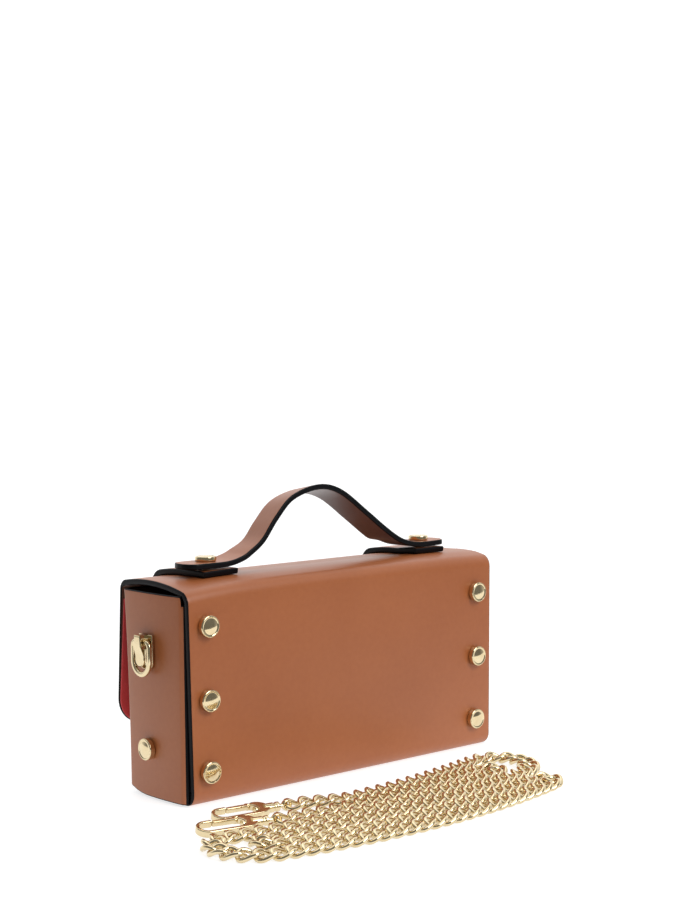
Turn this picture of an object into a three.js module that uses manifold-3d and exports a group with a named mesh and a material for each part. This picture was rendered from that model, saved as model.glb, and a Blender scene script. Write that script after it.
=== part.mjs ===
// Small box bag: two riveted leather sheets, a top handle and a loose chain strap.
// Millimetres. +X is the right end seen from the front, +Y the back, +Z up.
// The origin is on the table, under the middle of the bag.
import * as THREE from "three";
import { mergeVertices } from "three/addons/utils/BufferGeometryUtils.js";
import Module from "manifold-3d";

const wasm = await Module();
wasm.setup();

const { clamp, degToRad, lerp, smoothstep } = THREE.MathUtils;

// Clearances between pieces that touch on the real bag
const GAP = 0.3;
const SEAT = 0.2;

// Sheet that makes the bottom, back, top and flap
const WRAP = {
  halfLength: 95.4,
  thickness: 2.6,
  backY: 24.4,
  bottomBend: 6,
  topBend: 6,
  crownRadius: 112,
  crownY: -7,
  crownZ: 99.6,
  crownLift: 2.8,
  liftFall: { right: 1, left: 0.35 },
  liftFromY: -4,
  liftFullY: 15,
  liftFromZ: 84,
  liftFullZ: 93,
  flare: 0.0002,
  flareFromZ: 41.7,
  frontTabHalf: 90,
  frontTabTop: 24,
  tabBend: 5,
  steps: 6,
};

// Part of that sheet that folds down over the front
const FLAP = {
  bend: 5,
  lean: degToRad(5.04),
  topY: -28.7,
  topZ: 94,
  bottomZ: 28.7,
  corner: 13,
  thickness: 1.1,
  thinBelowZ: 93.8,
  fullAboveZ: 98,
};

// Red lining on the inside of the flap
const LINING = { thickness: 0.8, inset: 0.4, topZ: 89, bottomZ: 29.2, corner: 12.6 };

// Tabs of the bottom that stand up inside the ends
const END_TAB = { half: 13, topZ: 32, corner: 4 };

// Sheet that makes the front and both ends
const WALL = {
  thickness: 2,
  faceX: 98.4,
  faceCrown: 200,
  frontY: -22.1,
  fold: 3.2,
  flangeX: 77,
  flangeBottom: 7,
  flangeTop: 90.3,
  bendY: 17,
  bottomZ: 0.9,
  toe: { run: 17, rise: 5.5 },
  topZ: 94.3,
  lean: 3.4,
  steps: 5,
};

// Rivets: a flat polished cap, a post and a plain inner cap
const STUD = { radius: 5, height: 3, edge: 0.5, post: 1.5, inner: 3.4, innerHeight: 0.9, hole: 1.9, sides: 14 };
const BACK_STUDS = {
  right: { top: { x: 86, z: 80.6 }, middle: { x: 86, z: 47.3 }, bottom: { x: 86, z: 15.1 } },
  left: { top: { x: -85.1, z: 80.1 }, middle: { x: -84.5, z: 47.3 }, bottom: { x: -83.1, z: 15.1 } },
};
const FRONT_STUDS = { x: 80, z: 15.1 };
const END_STUDS = { y: -3.5, z: 23 };

// Handle, by the upper face of its arch
const HANDLE = {
  thickness: 2.6,
  width: 16.5,
  y: 1.75,
  tip: { right: 79, left: -74.5, reach: 5 },
  baseZ: 106.5,
  roll: 3,
  rollRise: { right: 14, left: 6 },
  divisions: 44,
};
const HANDLE_ARCH = [
  { x: 87, z: 106.5 },
  { x: 74, z: 106.5 },
  { x: 62, z: 106.6 },
  { x: 54, z: 108.3 },
  { x: 49, z: 110.8 },
  { x: 42, z: 115.8 },
  { x: 34, z: 125.6 },
  { x: 23.5, z: 135 },
  { x: 6.7, z: 139.4 },
  { x: -8, z: 136.2 },
  { x: -25.4, z: 124.4 },
  { x: -35.7, z: 117 },
  { x: -45, z: 111 },
  { x: -52, z: 108 },
  { x: -60, z: 106.6 },
  { x: -70, z: 106.5 },
  { x: -82, z: 106.8 },
];
const STRAP = { x: 66.8, width: 19.5, thickness: 2.8, backY: 10, endZ: 50, studZ: 62 };
const RIVET = { right: 69, left: -67, y: 1.5, height: 2.2, slack: 0.4 };

// Tongue plate on each end, and the U-shaped ring that hangs in it
const MOUNT = {
  y: -3.5,
  plate: { width: 10, bottomZ: 59.5, topZ: 75.4, thickness: 1.4, corner: 3 },
  post: { z: 65.4 },
  tongue: { offset: 5.2, thickness: 1, topHalf: 2.2, lobeHalf: 3.4, lobeZ: 64.3 },
  bridge: { half: 2.2, bottomZ: 73.9 },
  web: { half: 2.2, bottomZ: 68.9, topZ: 70.4 },
};
const RING = { offset: 3.8, z: 72.1, half: 6.2, wire: 2.4, depth: 2, edge: 0.6, bottomZ: 57.4, corner: 2.2 };

// Snap hooks of the chain strap, lying flat with their tips toward +X
const HOOK = {
  axisZ: 2.6,
  roll: -12,
  length: 28,
  half: 5.2,
  band: 1.6,
  height: 3,
  edge: 0.4,
  base: 5.5,
  barrel: { radius: 2.2, length: 5, bore: 1.3 },
  slot: { from: 6.8, to: 19.6, inner: 2.9 },
  gate: { pivot: 8.6, axis: 4.2, knuckle: 1.5, thickness: 1.9, height: 2.4, tip: 19.3 },
  stem: { radius: 1, head: 1.8, headFrom: 6.3, headTo: 7.3 },
  eye: { centre: -9.2, outer: 2.5, inner: 1.3, width: 2 },
};
const HOOKS = { hook_a: { x: 76.3, y: 54.6, turn: -8 }, hook_b: { x: 94.2, y: 69.1, turn: -13 } };

// Chain strap: six bowed rows joined by turns, from hook A to hook B
const CHAIN = {
  width: 10.4,
  height: 4.8,
  sides: 10,
  firstRow: 66,
  pitch: 10.8,
  bow: 0.0014,
  bowX: 40,
  endBend: 28,
  endGap: 0.4,
  rowSteps: 9,
  turnSteps: 6,
};
const CHAIN_ROWS = [
  { row: 0, from: "hook_a", to: -55 },
  { row: 3, from: -55, to: 109 },
  { row: 4, from: 109, to: -48 },
  { row: 5, from: -48, to: 116.5 },
  { row: 2, from: 116.5, to: -44 },
  { row: 1, from: -44, to: "hook_b" },
];

const leather = { color: 0xa5633f, roughness: 0.45, metalness: 0 };
const lining = { color: 0x8e2b2c, roughness: 0.9, metalness: 0 };
const gold = { color: 0xe6cf9a, roughness: 0.18, metalness: 1 };

const X = new THREE.Vector3(1, 0, 0);
const Y = new THREE.Vector3(0, 1, 0);
const Z = new THREE.Vector3(0, 0, 1);
const SIDES = { right: 1, left: -1 };

// Helpers for solids

/** Closed solid from a geometry, with its faces turned outward. */
function solid(geometry) {
  const bare = new THREE.BufferGeometry();
  bare.setAttribute("position", geometry.getAttribute("position"));
  bare.setIndex(geometry.index);
  const merged = mergeVertices(bare);
  const position = merged.getAttribute("position");
  const corners = [new THREE.Vector3(), new THREE.Vector3(), new THREE.Vector3()];
  const faces = [];
  let volume = 0;
  for (let start = 0; start < merged.index.count; start += 3) {
    const face = [0, 1, 2].map((step) => merged.index.getX(start + step));
    if (new Set(face).size < 3) continue;
    face.forEach((vertex, i) => corners[i].fromBufferAttribute(position, vertex));
    volume += corners[0].dot(corners[1].clone().cross(corners[2]));
    faces.push(face);
  }
  const outward = volume < 0 ? faces.map(([a, b, c]) => [a, c, b]) : faces;
  const data = {
    numProp: 3,
    vertProperties: Float32Array.from(position.array),
    triVerts: Uint32Array.from(outward.flat()),
  };
  return new wasm.Manifold(new wasm.Mesh(data));
}

/** Mesh of one finished solid. */
function piece(name, body, finish) {
  const data = body.getMesh();
  const geometry = new THREE.BufferGeometry();
  geometry.setAttribute("position", new THREE.BufferAttribute(Float32Array.from(data.vertProperties), 3));
  geometry.setIndex(new THREE.BufferAttribute(Uint32Array.from(data.triVerts), 1));
  geometry.computeVertexNormals();
  const mesh = new THREE.Mesh(geometry, new THREE.MeshStandardMaterial(finish));
  mesh.name = name;
  return mesh;
}

/** Solid mirrored to the left end where side is -1. */
function sided(body, side) {
  return side > 0 ? body : body.mirror([1, 0, 0]);
}

function extrude(shape, depth, basis, options = {}) {
  const geometry = new THREE.ExtrudeGeometry(shape, { depth, bevelEnabled: false, curveSegments: 5, ...options });
  geometry.translate(0, 0, -depth / 2);
  return geometry.applyMatrix4(new THREE.Matrix4().makeBasis(...basis));
}

/** Extrusion of a (y, z) shape along x, centred on x = 0. */
function alongX(shape, depth, options) {
  return extrude(shape, depth, [Y, Z, X], options);
}

/** Extrusion of an (x, z) shape along y, centred on y = 0. */
function alongY(shape, depth, options) {
  return extrude(shape, depth, [X, Z, Y.clone().negate()], options);
}

/** Extrusion of an (x, y) shape along z, centred on z = 0. */
function alongZ(shape, depth, options) {
  return extrude(shape, depth, [X, Y, Z], options);
}

function box(min, max) {
  const size = max.map((value, i) => value - min[i]);
  const centre = max.map((value, i) => (value + min[i]) / 2);
  return solid(new THREE.BoxGeometry(...size).translate(...centre));
}

/** Cylinder from one point to another along a unit direction. */
function rod(direction, start, length, radius, sides = 12) {
  const geometry = new THREE.CylinderGeometry(radius, radius, length, sides).translate(0, length / 2, 0);
  geometry.applyQuaternion(new THREE.Quaternion().setFromUnitVectors(Y, direction));
  return solid(geometry.translate(start.x, start.y, start.z));
}

/** Moves each vertex of a geometry by a function of its place. */
function displace(geometry, move) {
  const position = geometry.getAttribute("position");
  const point = new THREE.Vector3();
  for (let i = 0; i < position.count; i += 1) {
    point.fromBufferAttribute(position, i);
    position.setXYZ(i, ...move(point));
  }
  return geometry;
}

/** Points along a path of lines and arcs, without doubled points. */
function pathPoints(path, divisions) {
  const points = path.getPoints(divisions);
  return points.filter((point, i) => i === 0 || point.distanceTo(points[i - 1]) > 1e-6);
}

const leftOf = (from, to) => new THREE.Vector2(from.y - to.y, to.x - from.x).normalize();

/** Outline of a sheet whose second face lies to the left of its path. */
function sheetShape(path, thicknessAt) {
  const last = path.length - 1;
  const second = path.map((point, i) => {
    const before = leftOf(path[Math.max(i - 1, 0)], path[Math.max(i, 1)]);
    const after = leftOf(path[Math.min(i, last - 1)], path[Math.min(i + 1, last)]);
    const normal = before.clone().add(after).normalize();
    return point.clone().addScaledVector(normal, thicknessAt(point) / normal.dot(before));
  });
  return new THREE.Shape([...path, ...second.reverse()]);
}

/** Block outside a rounded lower corner, for cutting sheets that hang in the xz plane. */
function cornerCutter(side, edgeX, bottomZ, radius, fromY, toY) {
  const spare = 1;
  const shape = new THREE.Shape();
  shape.moveTo(edgeX + spare, bottomZ - spare);
  shape.lineTo(edgeX + spare, bottomZ + radius);
  shape.absarc(edgeX - radius, bottomZ + radius, radius, 0, -Math.PI / 2, true);
  shape.lineTo(edgeX - radius, bottomZ - spare);
  const block = solid(alongY(shape, toY - fromY).translate(0, (fromY + toY) / 2, 0));
  return side > 0 ? block : block.mirror([1, 0, 0]);
}

/** Rivet whose cap stands on a surface point and whose inner cap closes on the far side of its layers. */
function stud(place, direction, grip, height = STUD.height) {
  const under = -grip - 2 * SEAT;
  const rim = STUD.radius - STUD.edge;
  const profile = [
    [0, under - STUD.innerHeight],
    [STUD.inner, under - STUD.innerHeight],
    [STUD.inner, under],
    [STUD.post, under],
    [STUD.post, 0],
    [STUD.radius, 0],
    [STUD.radius, height - STUD.edge],
    [rim, height],
    [0, height],
  ];
  const geometry = new THREE.LatheGeometry(profile.map(([r, h]) => new THREE.Vector2(r, h)), STUD.sides);
  geometry.applyQuaternion(new THREE.Quaternion().setFromUnitVectors(Y, direction));
  const seat = place.clone().addScaledVector(direction, SEAT);
  return solid(geometry.translate(seat.x, seat.y, seat.z));
}

/** Hole for a rivet's post, long enough for all its layers. */
function studHole(place, direction) {
  const reach = 11;
  const start = place.clone().addScaledVector(direction, -reach);
  return rod(direction, start, 2 * reach, STUD.hole);
}

// Lines of the wrap, in y and z

const crownCentre = new THREE.Vector2(WRAP.crownY, WRAP.crownZ - WRAP.crownRadius);
const flapNormal = new THREE.Vector2(-Math.cos(FLAP.lean), Math.sin(FLAP.lean));
const flapDown = new THREE.Vector2(-Math.sin(FLAP.lean), -Math.cos(FLAP.lean));
const flapOut = new THREE.Vector3(0, flapNormal.x, flapNormal.y);

const backBendCentre = new THREE.Vector2(WRAP.backY - WRAP.topBend, 0);
backBendCentre.y = crownCentre.y
  + Math.sqrt((WRAP.crownRadius - WRAP.topBend) ** 2 - (backBendCentre.x - crownCentre.x) ** 2);
const backBendAngle = backBendCentre.clone().sub(crownCentre).angle();

const flapReach = new THREE.Vector2(FLAP.topY, FLAP.topZ).sub(crownCentre).dot(flapNormal) - FLAP.bend;
const flapBendAngle = Math.PI / 2 + Math.asin(flapReach / (WRAP.crownRadius - FLAP.bend)) - FLAP.lean;
const flapBendCentre = new THREE.Vector2(Math.cos(flapBendAngle), Math.sin(flapBendAngle))
  .multiplyScalar(WRAP.crownRadius - FLAP.bend)
  .add(crownCentre);

/** Point at a height on a line parallel to the flap's outer face. */
function flapPoint(offset, z) {
  const start = flapBendCentre.clone().addScaledVector(flapNormal, FLAP.bend + offset);
  return start.addScaledVector(flapDown, (start.y - z) / Math.cos(FLAP.lean));
}

/** Adds the run over the top and down the flap, at an offset from the wrap's outer face. */
function addTopRun(path, startAngle, offset, endZ) {
  const crown = WRAP.crownRadius + offset;
  const bend = FLAP.bend + offset;
  path.absarc(crownCentre.x, crownCentre.y, crown, startAngle, flapBendAngle, false);
  path.absarc(flapBendCentre.x, flapBendCentre.y, bend, flapBendAngle, Math.PI - FLAP.lean, false);
  const end = flapPoint(offset, endZ);
  path.lineTo(end.x, end.y);
}

/** Extra height of the top, which is fuller at the middle of the back. */
function lift({ x, y, z }) {
  const fall = x > 0 ? WRAP.liftFall.right : WRAP.liftFall.left;
  const along = 1 - fall * (x / WRAP.halfLength) ** 4;
  const across = clamp((y - WRAP.liftFromY) / (WRAP.liftFullY - WRAP.liftFromY), 0, 1);
  const height = clamp((z - WRAP.liftFromZ) / (WRAP.liftFullZ - WRAP.liftFromZ), 0, 1);
  return WRAP.crownLift * along * across * height;
}

const liftPoint = (point) => [point.x, point.y, point.z + lift(point)];

/** Share by which the wrap is wider at a height than where its flap is rounded. */
const flareAt = (z) => 1 + WRAP.flare * (z - WRAP.flareFromZ);

/** Point of the wrap, lifted and widened. */
function flarePoint(point) {
  const [x, y, z] = liftPoint(point);
  return [x * flareAt(z), y, z];
}

/** Outer height of the top at a place. */
function topZ(x, y) {
  const z = crownCentre.y + Math.sqrt(WRAP.crownRadius ** 2 - (y - crownCentre.x) ** 2);
  return z + lift({ x, y, z });
}

// Places of the rivets: a surface point, an outward direction and the layers that the post passes

const wallLean = (z) => WALL.lean * (z / WALL.topZ) ** 2;
const frontTabY = WALL.frontY + WALL.thickness + GAP;
const flangeY = WRAP.backY - WRAP.thickness - GAP;

function rivetPlaces() {
  const places = [];
  const rivet = (name, x, y, z, direction, grip, height) => {
    places.push({ name, place: new THREE.Vector3(x, y, z), direction, grip, height });
  };
  const sheets = WRAP.thickness + GAP + WALL.thickness;
  const front = Y.clone().negate();
  for (const [end, side] of Object.entries(SIDES)) {
    for (const [row, { x, z }] of Object.entries(BACK_STUDS[end])) {
      rivet(`stud_back_${end}_${row}`, x, WRAP.backY, z, Y, sheets);
    }
    const frontY = WALL.frontY - wallLean(FRONT_STUDS.z);
    rivet(`stud_front_${end}`, side * FRONT_STUDS.x, frontY, FRONT_STUDS.z, front, sheets + GAP);
    const endGrip = WALL.faceX - WRAP.halfLength + WRAP.thickness;
    const outward = X.clone().multiplyScalar(side);
    rivet(`stud_end_${end}`, side * WALL.faceX, END_STUDS.y, END_STUDS.z, outward, endGrip);
    const topGrip = HANDLE.baseZ - topZ(RIVET[end], RIVET.y) + WRAP.thickness + RIVET.slack;
    rivet(`handle_rivet_${end}`, RIVET[end], RIVET.y, HANDLE.baseZ, Z, topGrip, RIVET.height);
    const strapFace = flapPoint(GAP + STRAP.thickness, STRAP.studZ);
    const flapGrip = STRAP.thickness + FLAP.thickness + LINING.thickness + 2 * GAP;
    rivet(`strap_stud_${end}`, side * STRAP.x, strapFace.x, strapFace.y, flapOut, flapGrip);
  }
  return places;
}

const rivets = rivetPlaces();

/** Cuts the holes of the rivets whose names start with one of the given words. */
function drill(body, words) {
  const through = rivets.filter(({ name }) => words.some((word) => name.startsWith(word)));
  return through.reduce((cut, { place, direction }) => cut.subtract(studHole(place, direction)), body);
}

// Leather pieces

/** Tab of the bottom, upright inside one end. */
function endTab(side) {
  const { half, topZ: top, corner } = END_TAB;
  const shape = new THREE.Shape();
  shape.moveTo(-half, WRAP.thickness + GAP);
  shape.lineTo(half, WRAP.thickness + GAP);
  shape.absarc(half - corner, top - corner, corner, 0, Math.PI / 2, false);
  shape.absarc(corner - half, top - corner, corner, Math.PI / 2, Math.PI, false);
  const tab = alongX(shape, WRAP.thickness).translate(WRAP.halfLength - WRAP.thickness / 2, 0, 0);
  return drill(sided(solid(tab), side), ["stud_end"]);
}

function bodyWrap() {
  const path = new THREE.Path();
  path.moveTo(frontTabY, WRAP.frontTabTop);
  path.absarc(frontTabY + WRAP.tabBend, WRAP.tabBend, WRAP.tabBend, Math.PI, 1.5 * Math.PI, false);
  path.absarc(WRAP.backY - WRAP.bottomBend, WRAP.bottomBend, WRAP.bottomBend, -Math.PI / 2, 0, false);
  path.absarc(backBendCentre.x, backBendCentre.y, WRAP.topBend, 0, backBendAngle, false);
  addTopRun(path, backBendAngle, 0, FLAP.bottomZ);
  const thicknessAt = ({ x, y }) => {
    if (x > crownCentre.x || y < WRAP.frontTabTop + 1) return WRAP.thickness;
    return lerp(FLAP.thickness, WRAP.thickness, smoothstep(y, FLAP.thinBelowZ, FLAP.fullAboveZ));
  };
  const shape = sheetShape(pathPoints(path, 3), thicknessAt);
  const sheet = alongX(shape, 2 * WRAP.halfLength, { steps: WRAP.steps });
  let body = solid(displace(sheet, flarePoint));
  for (const side of Object.values(SIDES)) {
    const tabCorner = box(
      [WRAP.frontTabHalf, frontTabY - 1, -1],
      [WRAP.halfLength + 1, frontTabY + WRAP.tabBend, WRAP.frontTabTop + 1],
    );
    const flapCorner = cornerCutter(side, WRAP.halfLength, FLAP.bottomZ, FLAP.corner, FLAP.topY - 9, FLAP.topY + 4);
    body = body.subtract(sided(tabCorner, side)).subtract(flapCorner);
  }
  return drill(body, ["stud_", "handle_rivet", "strap_stud"]);
}

function flapLining() {
  const offset = -FLAP.thickness - SEAT;
  const path = [flapPoint(offset, LINING.topZ), flapPoint(offset, LINING.bottomZ)];
  const half = WRAP.halfLength - LINING.inset;
  let body = solid(alongX(sheetShape(path, () => LINING.thickness), 2 * half));
  for (const side of Object.values(SIDES)) {
    body = body.subtract(
      cornerCutter(side, half, LINING.bottomZ, LINING.corner, FLAP.topY - 9, FLAP.topY + 4),
    );
  }
  return drill(body, ["strap_stud"]);
}

/** Plan of the front and ends, from the left flange round to the right one. */
function wallPath() {
  const crown = WALL.faceCrown;
  const middleY = (flangeY + WALL.frontY) / 2;
  const reach = flangeY - WALL.fold - middleY;
  const turn = Math.asin(reach / (crown - WALL.fold));
  const foldX = WALL.faceX - crown + (crown - WALL.fold) * Math.cos(turn);
  const backFold = flangeY - WALL.fold;
  const frontFold = WALL.frontY + WALL.fold;
  const path = new THREE.Path();
  path.moveTo(-WALL.flangeX, flangeY);
  path.absarc(-foldX, backFold, WALL.fold, Math.PI / 2, Math.PI - turn, false);
  path.absarc(crown - WALL.faceX, middleY, crown, Math.PI - turn, Math.PI + turn, false);
  path.absarc(-foldX, frontFold, WALL.fold, Math.PI + turn, 1.5 * Math.PI, false);
  path.absarc(foldX, frontFold, WALL.fold, -Math.PI / 2, -turn, false);
  path.absarc(WALL.faceX - crown, middleY, crown, -turn, turn, false);
  path.absarc(foldX, backFold, WALL.fold, turn, Math.PI / 2, false);
  path.lineTo(WALL.flangeX, flangeY);
  return path;
}

/** Block under a front corner, where the lower edges of the front and the end curve up. */
function toeBlock(side) {
  const spare = 1;
  const { faceX, frontY, bottomZ, toe } = WALL;
  const run = toe.run * Math.SQRT1_2;
  const shape = new THREE.Shape();
  shape.moveTo(-spare, bottomZ - spare);
  shape.lineTo(run, bottomZ - spare);
  shape.absellipse(run, bottomZ + toe.rise, run, toe.rise, -Math.PI / 2, -Math.PI, true);
  shape.lineTo(-spare, bottomZ + toe.rise);
  const block = alongX(shape, 2 * toe.run).rotateZ(Math.PI / 4).translate(faceX, frontY, 0);
  return sided(solid(block), side);
}

function frontWall() {
  const shape = sheetShape(pathPoints(wallPath(), 3), () => WALL.thickness);
  const height = WALL.topZ - WALL.bottomZ;
  const sheet = alongZ(shape, height, { steps: WALL.steps }).translate(0, 0, WALL.bottomZ + height / 2);
  const leaning = ({ x, y, z }) => {
    const share = clamp((flangeY - WALL.fold - y) / (flangeY - WALL.frontY - 2 * WALL.fold), 0, 1);
    return [x, y - wallLean(z) * share, z];
  };
  let body = solid(displace(sheet, leaning));
  const topX = WRAP.halfLength * flareAt(WRAP.crownZ) + GAP;
  const lowX = WRAP.halfLength * flareAt(WALL.flangeBottom) + GAP;
  const flangeInner = flangeY - WALL.thickness - 1;
  body = body.subtract(box([-topX, WALL.bendY, WALL.flangeTop], [topX, WRAP.backY, WALL.topZ + 1]));
  body = body.subtract(box([-lowX, flangeInner, 0], [lowX, WRAP.backY, WALL.flangeBottom]));
  for (const side of Object.values(SIDES)) {
    body = body.subtract(studHole(mountPost(side), X)).subtract(toeBlock(side));
  }
  return drill(body, ["stud_"]);
}

/** Lowers the front edge of the handle where its arch is high. */
function rollHandle({ x, y, z }) {
  const share = (HANDLE.y + HANDLE.width / 2 - y) / HANDLE.width;
  const rise = x > 0 ? HANDLE.rollRise.right : HANDLE.rollRise.left;
  return [x, y, z - HANDLE.roll * share * smoothstep(z - HANDLE.baseZ, 0, rise)];
}

function handle() {
  const arch = new THREE.SplineCurve(HANDLE_ARCH.map(({ x, z }) => new THREE.Vector2(x, z)));
  const shape = sheetShape(arch.getPoints(HANDLE.divisions), () => HANDLE.thickness);
  const band = solid(displace(alongY(shape, HANDLE.width).translate(0, HANDLE.y, 0), rollHandle));
  const { right, left, reach } = HANDLE.tip;
  const half = HANDLE.width / 2;
  const plan = new THREE.Shape();
  plan.absellipse(right, HANDLE.y, reach, half, -Math.PI / 2, Math.PI / 2, false);
  plan.absellipse(left, HANDLE.y, reach, half, Math.PI / 2, 1.5 * Math.PI, false);
  return drill(band.intersect(solid(alongZ(plan, 4 * HANDLE.baseZ))), ["handle_rivet"]);
}

/** Cross strap under a handle tip, bent over the front edge onto the flap. */
function handleStrap(side) {
  const path = new THREE.Path();
  const startAngle = Math.acos((STRAP.backY - crownCentre.x) / (WRAP.crownRadius + GAP));
  addTopRun(path, startAngle, GAP, STRAP.endZ);
  const shape = sheetShape(pathPoints(path, 2), () => -STRAP.thickness);
  const middle = side * STRAP.x;
  const sheet = alongX(shape, STRAP.width, { steps: 2 }).translate(middle, 0, 0);
  let body = solid(displace(sheet, liftPoint));
  const radius = STRAP.width / 2 - 1;
  const fromY = FLAP.topY - 12;
  const edge = cornerCutter(1, STRAP.width / 2, STRAP.endZ, radius, fromY, FLAP.topY + 4);
  for (const corner of [edge, edge.mirror([1, 0, 0])]) {
    body = body.subtract(corner.translate([middle, 0, 0]));
  }
  return drill(body, ["handle_rivet", "strap_stud"]);
}

// Metal fittings

const mountPost = (side) => new THREE.Vector3(side * WALL.faceX, MOUNT.y, MOUNT.post.z);

/** Rounded rectangle in y and z. */
function roundedPlate({ width, bottomZ, topZ: top, corner }) {
  const half = width / 2;
  const shape = new THREE.Shape();
  shape.absarc(MOUNT.y + half - corner, bottomZ + corner, corner, -Math.PI / 2, 0, false);
  shape.lineTo(MOUNT.y + half, top);
  shape.lineTo(MOUNT.y - half, top);
  shape.absarc(MOUNT.y - half + corner, bottomZ + corner, corner, Math.PI, 1.5 * Math.PI, false);
  return shape;
}

/** Drop-shaped tongue in y and z. */
function tongueShape() {
  const { topHalf, lobeHalf, lobeZ } = MOUNT.tongue;
  const top = MOUNT.plate.topZ;
  const shape = new THREE.Shape();
  shape.moveTo(MOUNT.y - topHalf, top);
  shape.absarc(MOUNT.y, lobeZ, lobeHalf, Math.PI, 2 * Math.PI, false);
  shape.lineTo(MOUNT.y + topHalf, top);
  return shape;
}

function ringMount(side) {
  const { plate, tongue, bridge, web } = MOUNT;
  const seatX = WALL.faceX + SEAT;
  const plateBody = solid(
    alongX(roundedPlate(plate), plate.thickness).translate(seatX + plate.thickness / 2, 0, 0),
  );
  const tongueX = WALL.faceX + tongue.offset + tongue.thickness / 2;
  const tongueBody = solid(alongX(tongueShape(), tongue.thickness).translate(tongueX, 0, 0));
  const bar = ({ half, bottomZ, topZ: top = plate.topZ }) => box(
    [seatX, MOUNT.y - half, bottomZ],
    [tongueX, MOUNT.y + half, top],
  );
  const postLength = WALL.thickness + 3 * SEAT;
  const inward = X.clone().negate();
  const post = rod(inward, new THREE.Vector3(seatX + SEAT, MOUNT.y, MOUNT.post.z), postLength, STUD.post);
  const capX = WALL.faceX - WALL.thickness - SEAT;
  const cap = rod(inward, new THREE.Vector3(capX, MOUNT.y, MOUNT.post.z), STUD.innerHeight, STUD.inner);
  const parts = [tongueBody, bar(bridge), bar(web), post, cap];
  return sided(parts.reduce((body, part) => body.add(part), plateBody), side);
}

/** Outline of the ring, grown or shrunk from its middle line. */
function ringOutline(shape, offset) {
  const half = RING.half + offset;
  const corner = RING.corner + offset;
  const lobeZ = RING.bottomZ + RING.half;
  const top = RING.z + offset;
  shape.absarc(MOUNT.y, lobeZ, half, Math.PI, 2 * Math.PI, false);
  shape.absarc(MOUNT.y + half - corner, top - corner, corner, 0, Math.PI / 2, false);
  shape.absarc(MOUNT.y - half + corner, top - corner, corner, Math.PI / 2, Math.PI, false);
  shape.closePath();
  return shape;
}

function ring(side) {
  const reach = RING.wire / 2 - RING.edge;
  const shape = ringOutline(new THREE.Shape(), reach);
  shape.holes.push(ringOutline(new THREE.Path(), -reach));
  const depth = RING.depth - 2 * RING.edge;
  const rounding = { bevelEnabled: true, bevelSize: RING.edge, bevelThickness: RING.edge, bevelSegments: 1 };
  const body = alongX(shape, depth, { ...rounding, curveSegments: 3 });
  return sided(solid(body.translate(WALL.faceX + RING.offset, 0, 0)), side);
}

/** Stadium along x, from one end to the other. */
function stadium(shape, from, to, half) {
  shape.absarc(to - half, 0, half, -Math.PI / 2, Math.PI / 2, false);
  shape.absarc(from + half, 0, half, Math.PI / 2, 1.5 * Math.PI, false);
  shape.closePath();
  return shape;
}

/** Solid of a hook, turned and moved to where the hook lies. */
function layHook(body, { x, y, turn }, roll = HOOK.roll) {
  return body.rotate([roll, 0, turn]).translate([x, y, HOOK.axisZ]);
}

function hookBody(place) {
  const { barrel, slot, edge, band, base, half, length } = HOOK;
  const shape = stadium(new THREE.Shape(), edge, length - edge, half - edge);
  shape.holes.push(stadium(new THREE.Path(), base - edge, length - band + edge, half - band + edge));
  const depth = HOOK.height - 2 * edge;
  const rounding = { bevelEnabled: true, bevelSize: edge, bevelThickness: edge, bevelSegments: 1 };
  const loop = solid(alongZ(shape, depth, { ...rounding, curveSegments: 4 }));
  const shank = rod(X, new THREE.Vector3(-barrel.length, 0, 0), barrel.length + base / 2, barrel.radius, 14);
  const bore = rod(X, new THREE.Vector3(-barrel.length - 1, 0, 0), barrel.length + base + 3, barrel.bore, 12);
  const gateSlot = box([slot.from, -half - 1, -HOOK.height], [slot.to, -slot.inner, HOOK.height]);
  return layHook(loop.add(shank).subtract(bore).subtract(gateSlot), place);
}

function hookGate(place) {
  const { gate } = HOOK;
  const shape = new THREE.Shape();
  shape.absarc(gate.pivot, -gate.axis, gate.knuckle, Math.PI / 3, (5 * Math.PI) / 3, false);
  shape.lineTo(gate.tip, -gate.axis - gate.thickness / 2);
  shape.lineTo(gate.tip, -gate.axis + gate.thickness / 2);
  return layHook(solid(alongZ(shape, gate.height)), place);
}

function hookEye(place) {
  const { stem, eye } = HOOK;
  const shape = new THREE.Shape();
  shape.absarc(eye.centre, 0, eye.outer, 0, 2 * Math.PI, false);
  const hole = new THREE.Path();
  hole.absarc(eye.centre, 0, eye.inner, 0, 2 * Math.PI, false);
  shape.holes.push(hole);
  const loop = solid(alongZ(shape, eye.width)).rotate([90, 0, 0]);
  const stemFrom = eye.centre + (eye.outer + eye.inner) / 2;
  const shaft = rod(X, new THREE.Vector3(stemFrom, 0, 0), stem.headTo - stemFrom, stem.radius, 10);
  const head = rod(X, new THREE.Vector3(stem.headFrom, 0, 0), stem.headTo - stem.headFrom, stem.head, 12);
  return layHook(loop.add(shaft).add(head), place, 0);
}

// Chain strap

/** End of the chain at a hook, just short of its eye. */
function chainEnd(name) {
  const { x, y, turn } = HOOKS[name];
  const reach = HOOK.eye.centre - HOOK.eye.outer - CHAIN.endGap;
  return { x: x + reach * Math.cos(degToRad(turn)), y: y + reach * Math.sin(degToRad(turn)) };
}

/** Point on a row of the chain; a row that ends at a hook bends over to it. */
function rowPoint(row, x, end) {
  const y = CHAIN.firstRow + CHAIN.pitch * row - CHAIN.bow * (x - CHAIN.bowX) ** 2;
  if (!end) return new THREE.Vector2(x, y);
  const miss = end.y - rowPoint(row, end.x).y;
  return new THREE.Vector2(x, y + miss * smoothstep(x, end.x - CHAIN.endBend, end.x));
}

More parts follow.
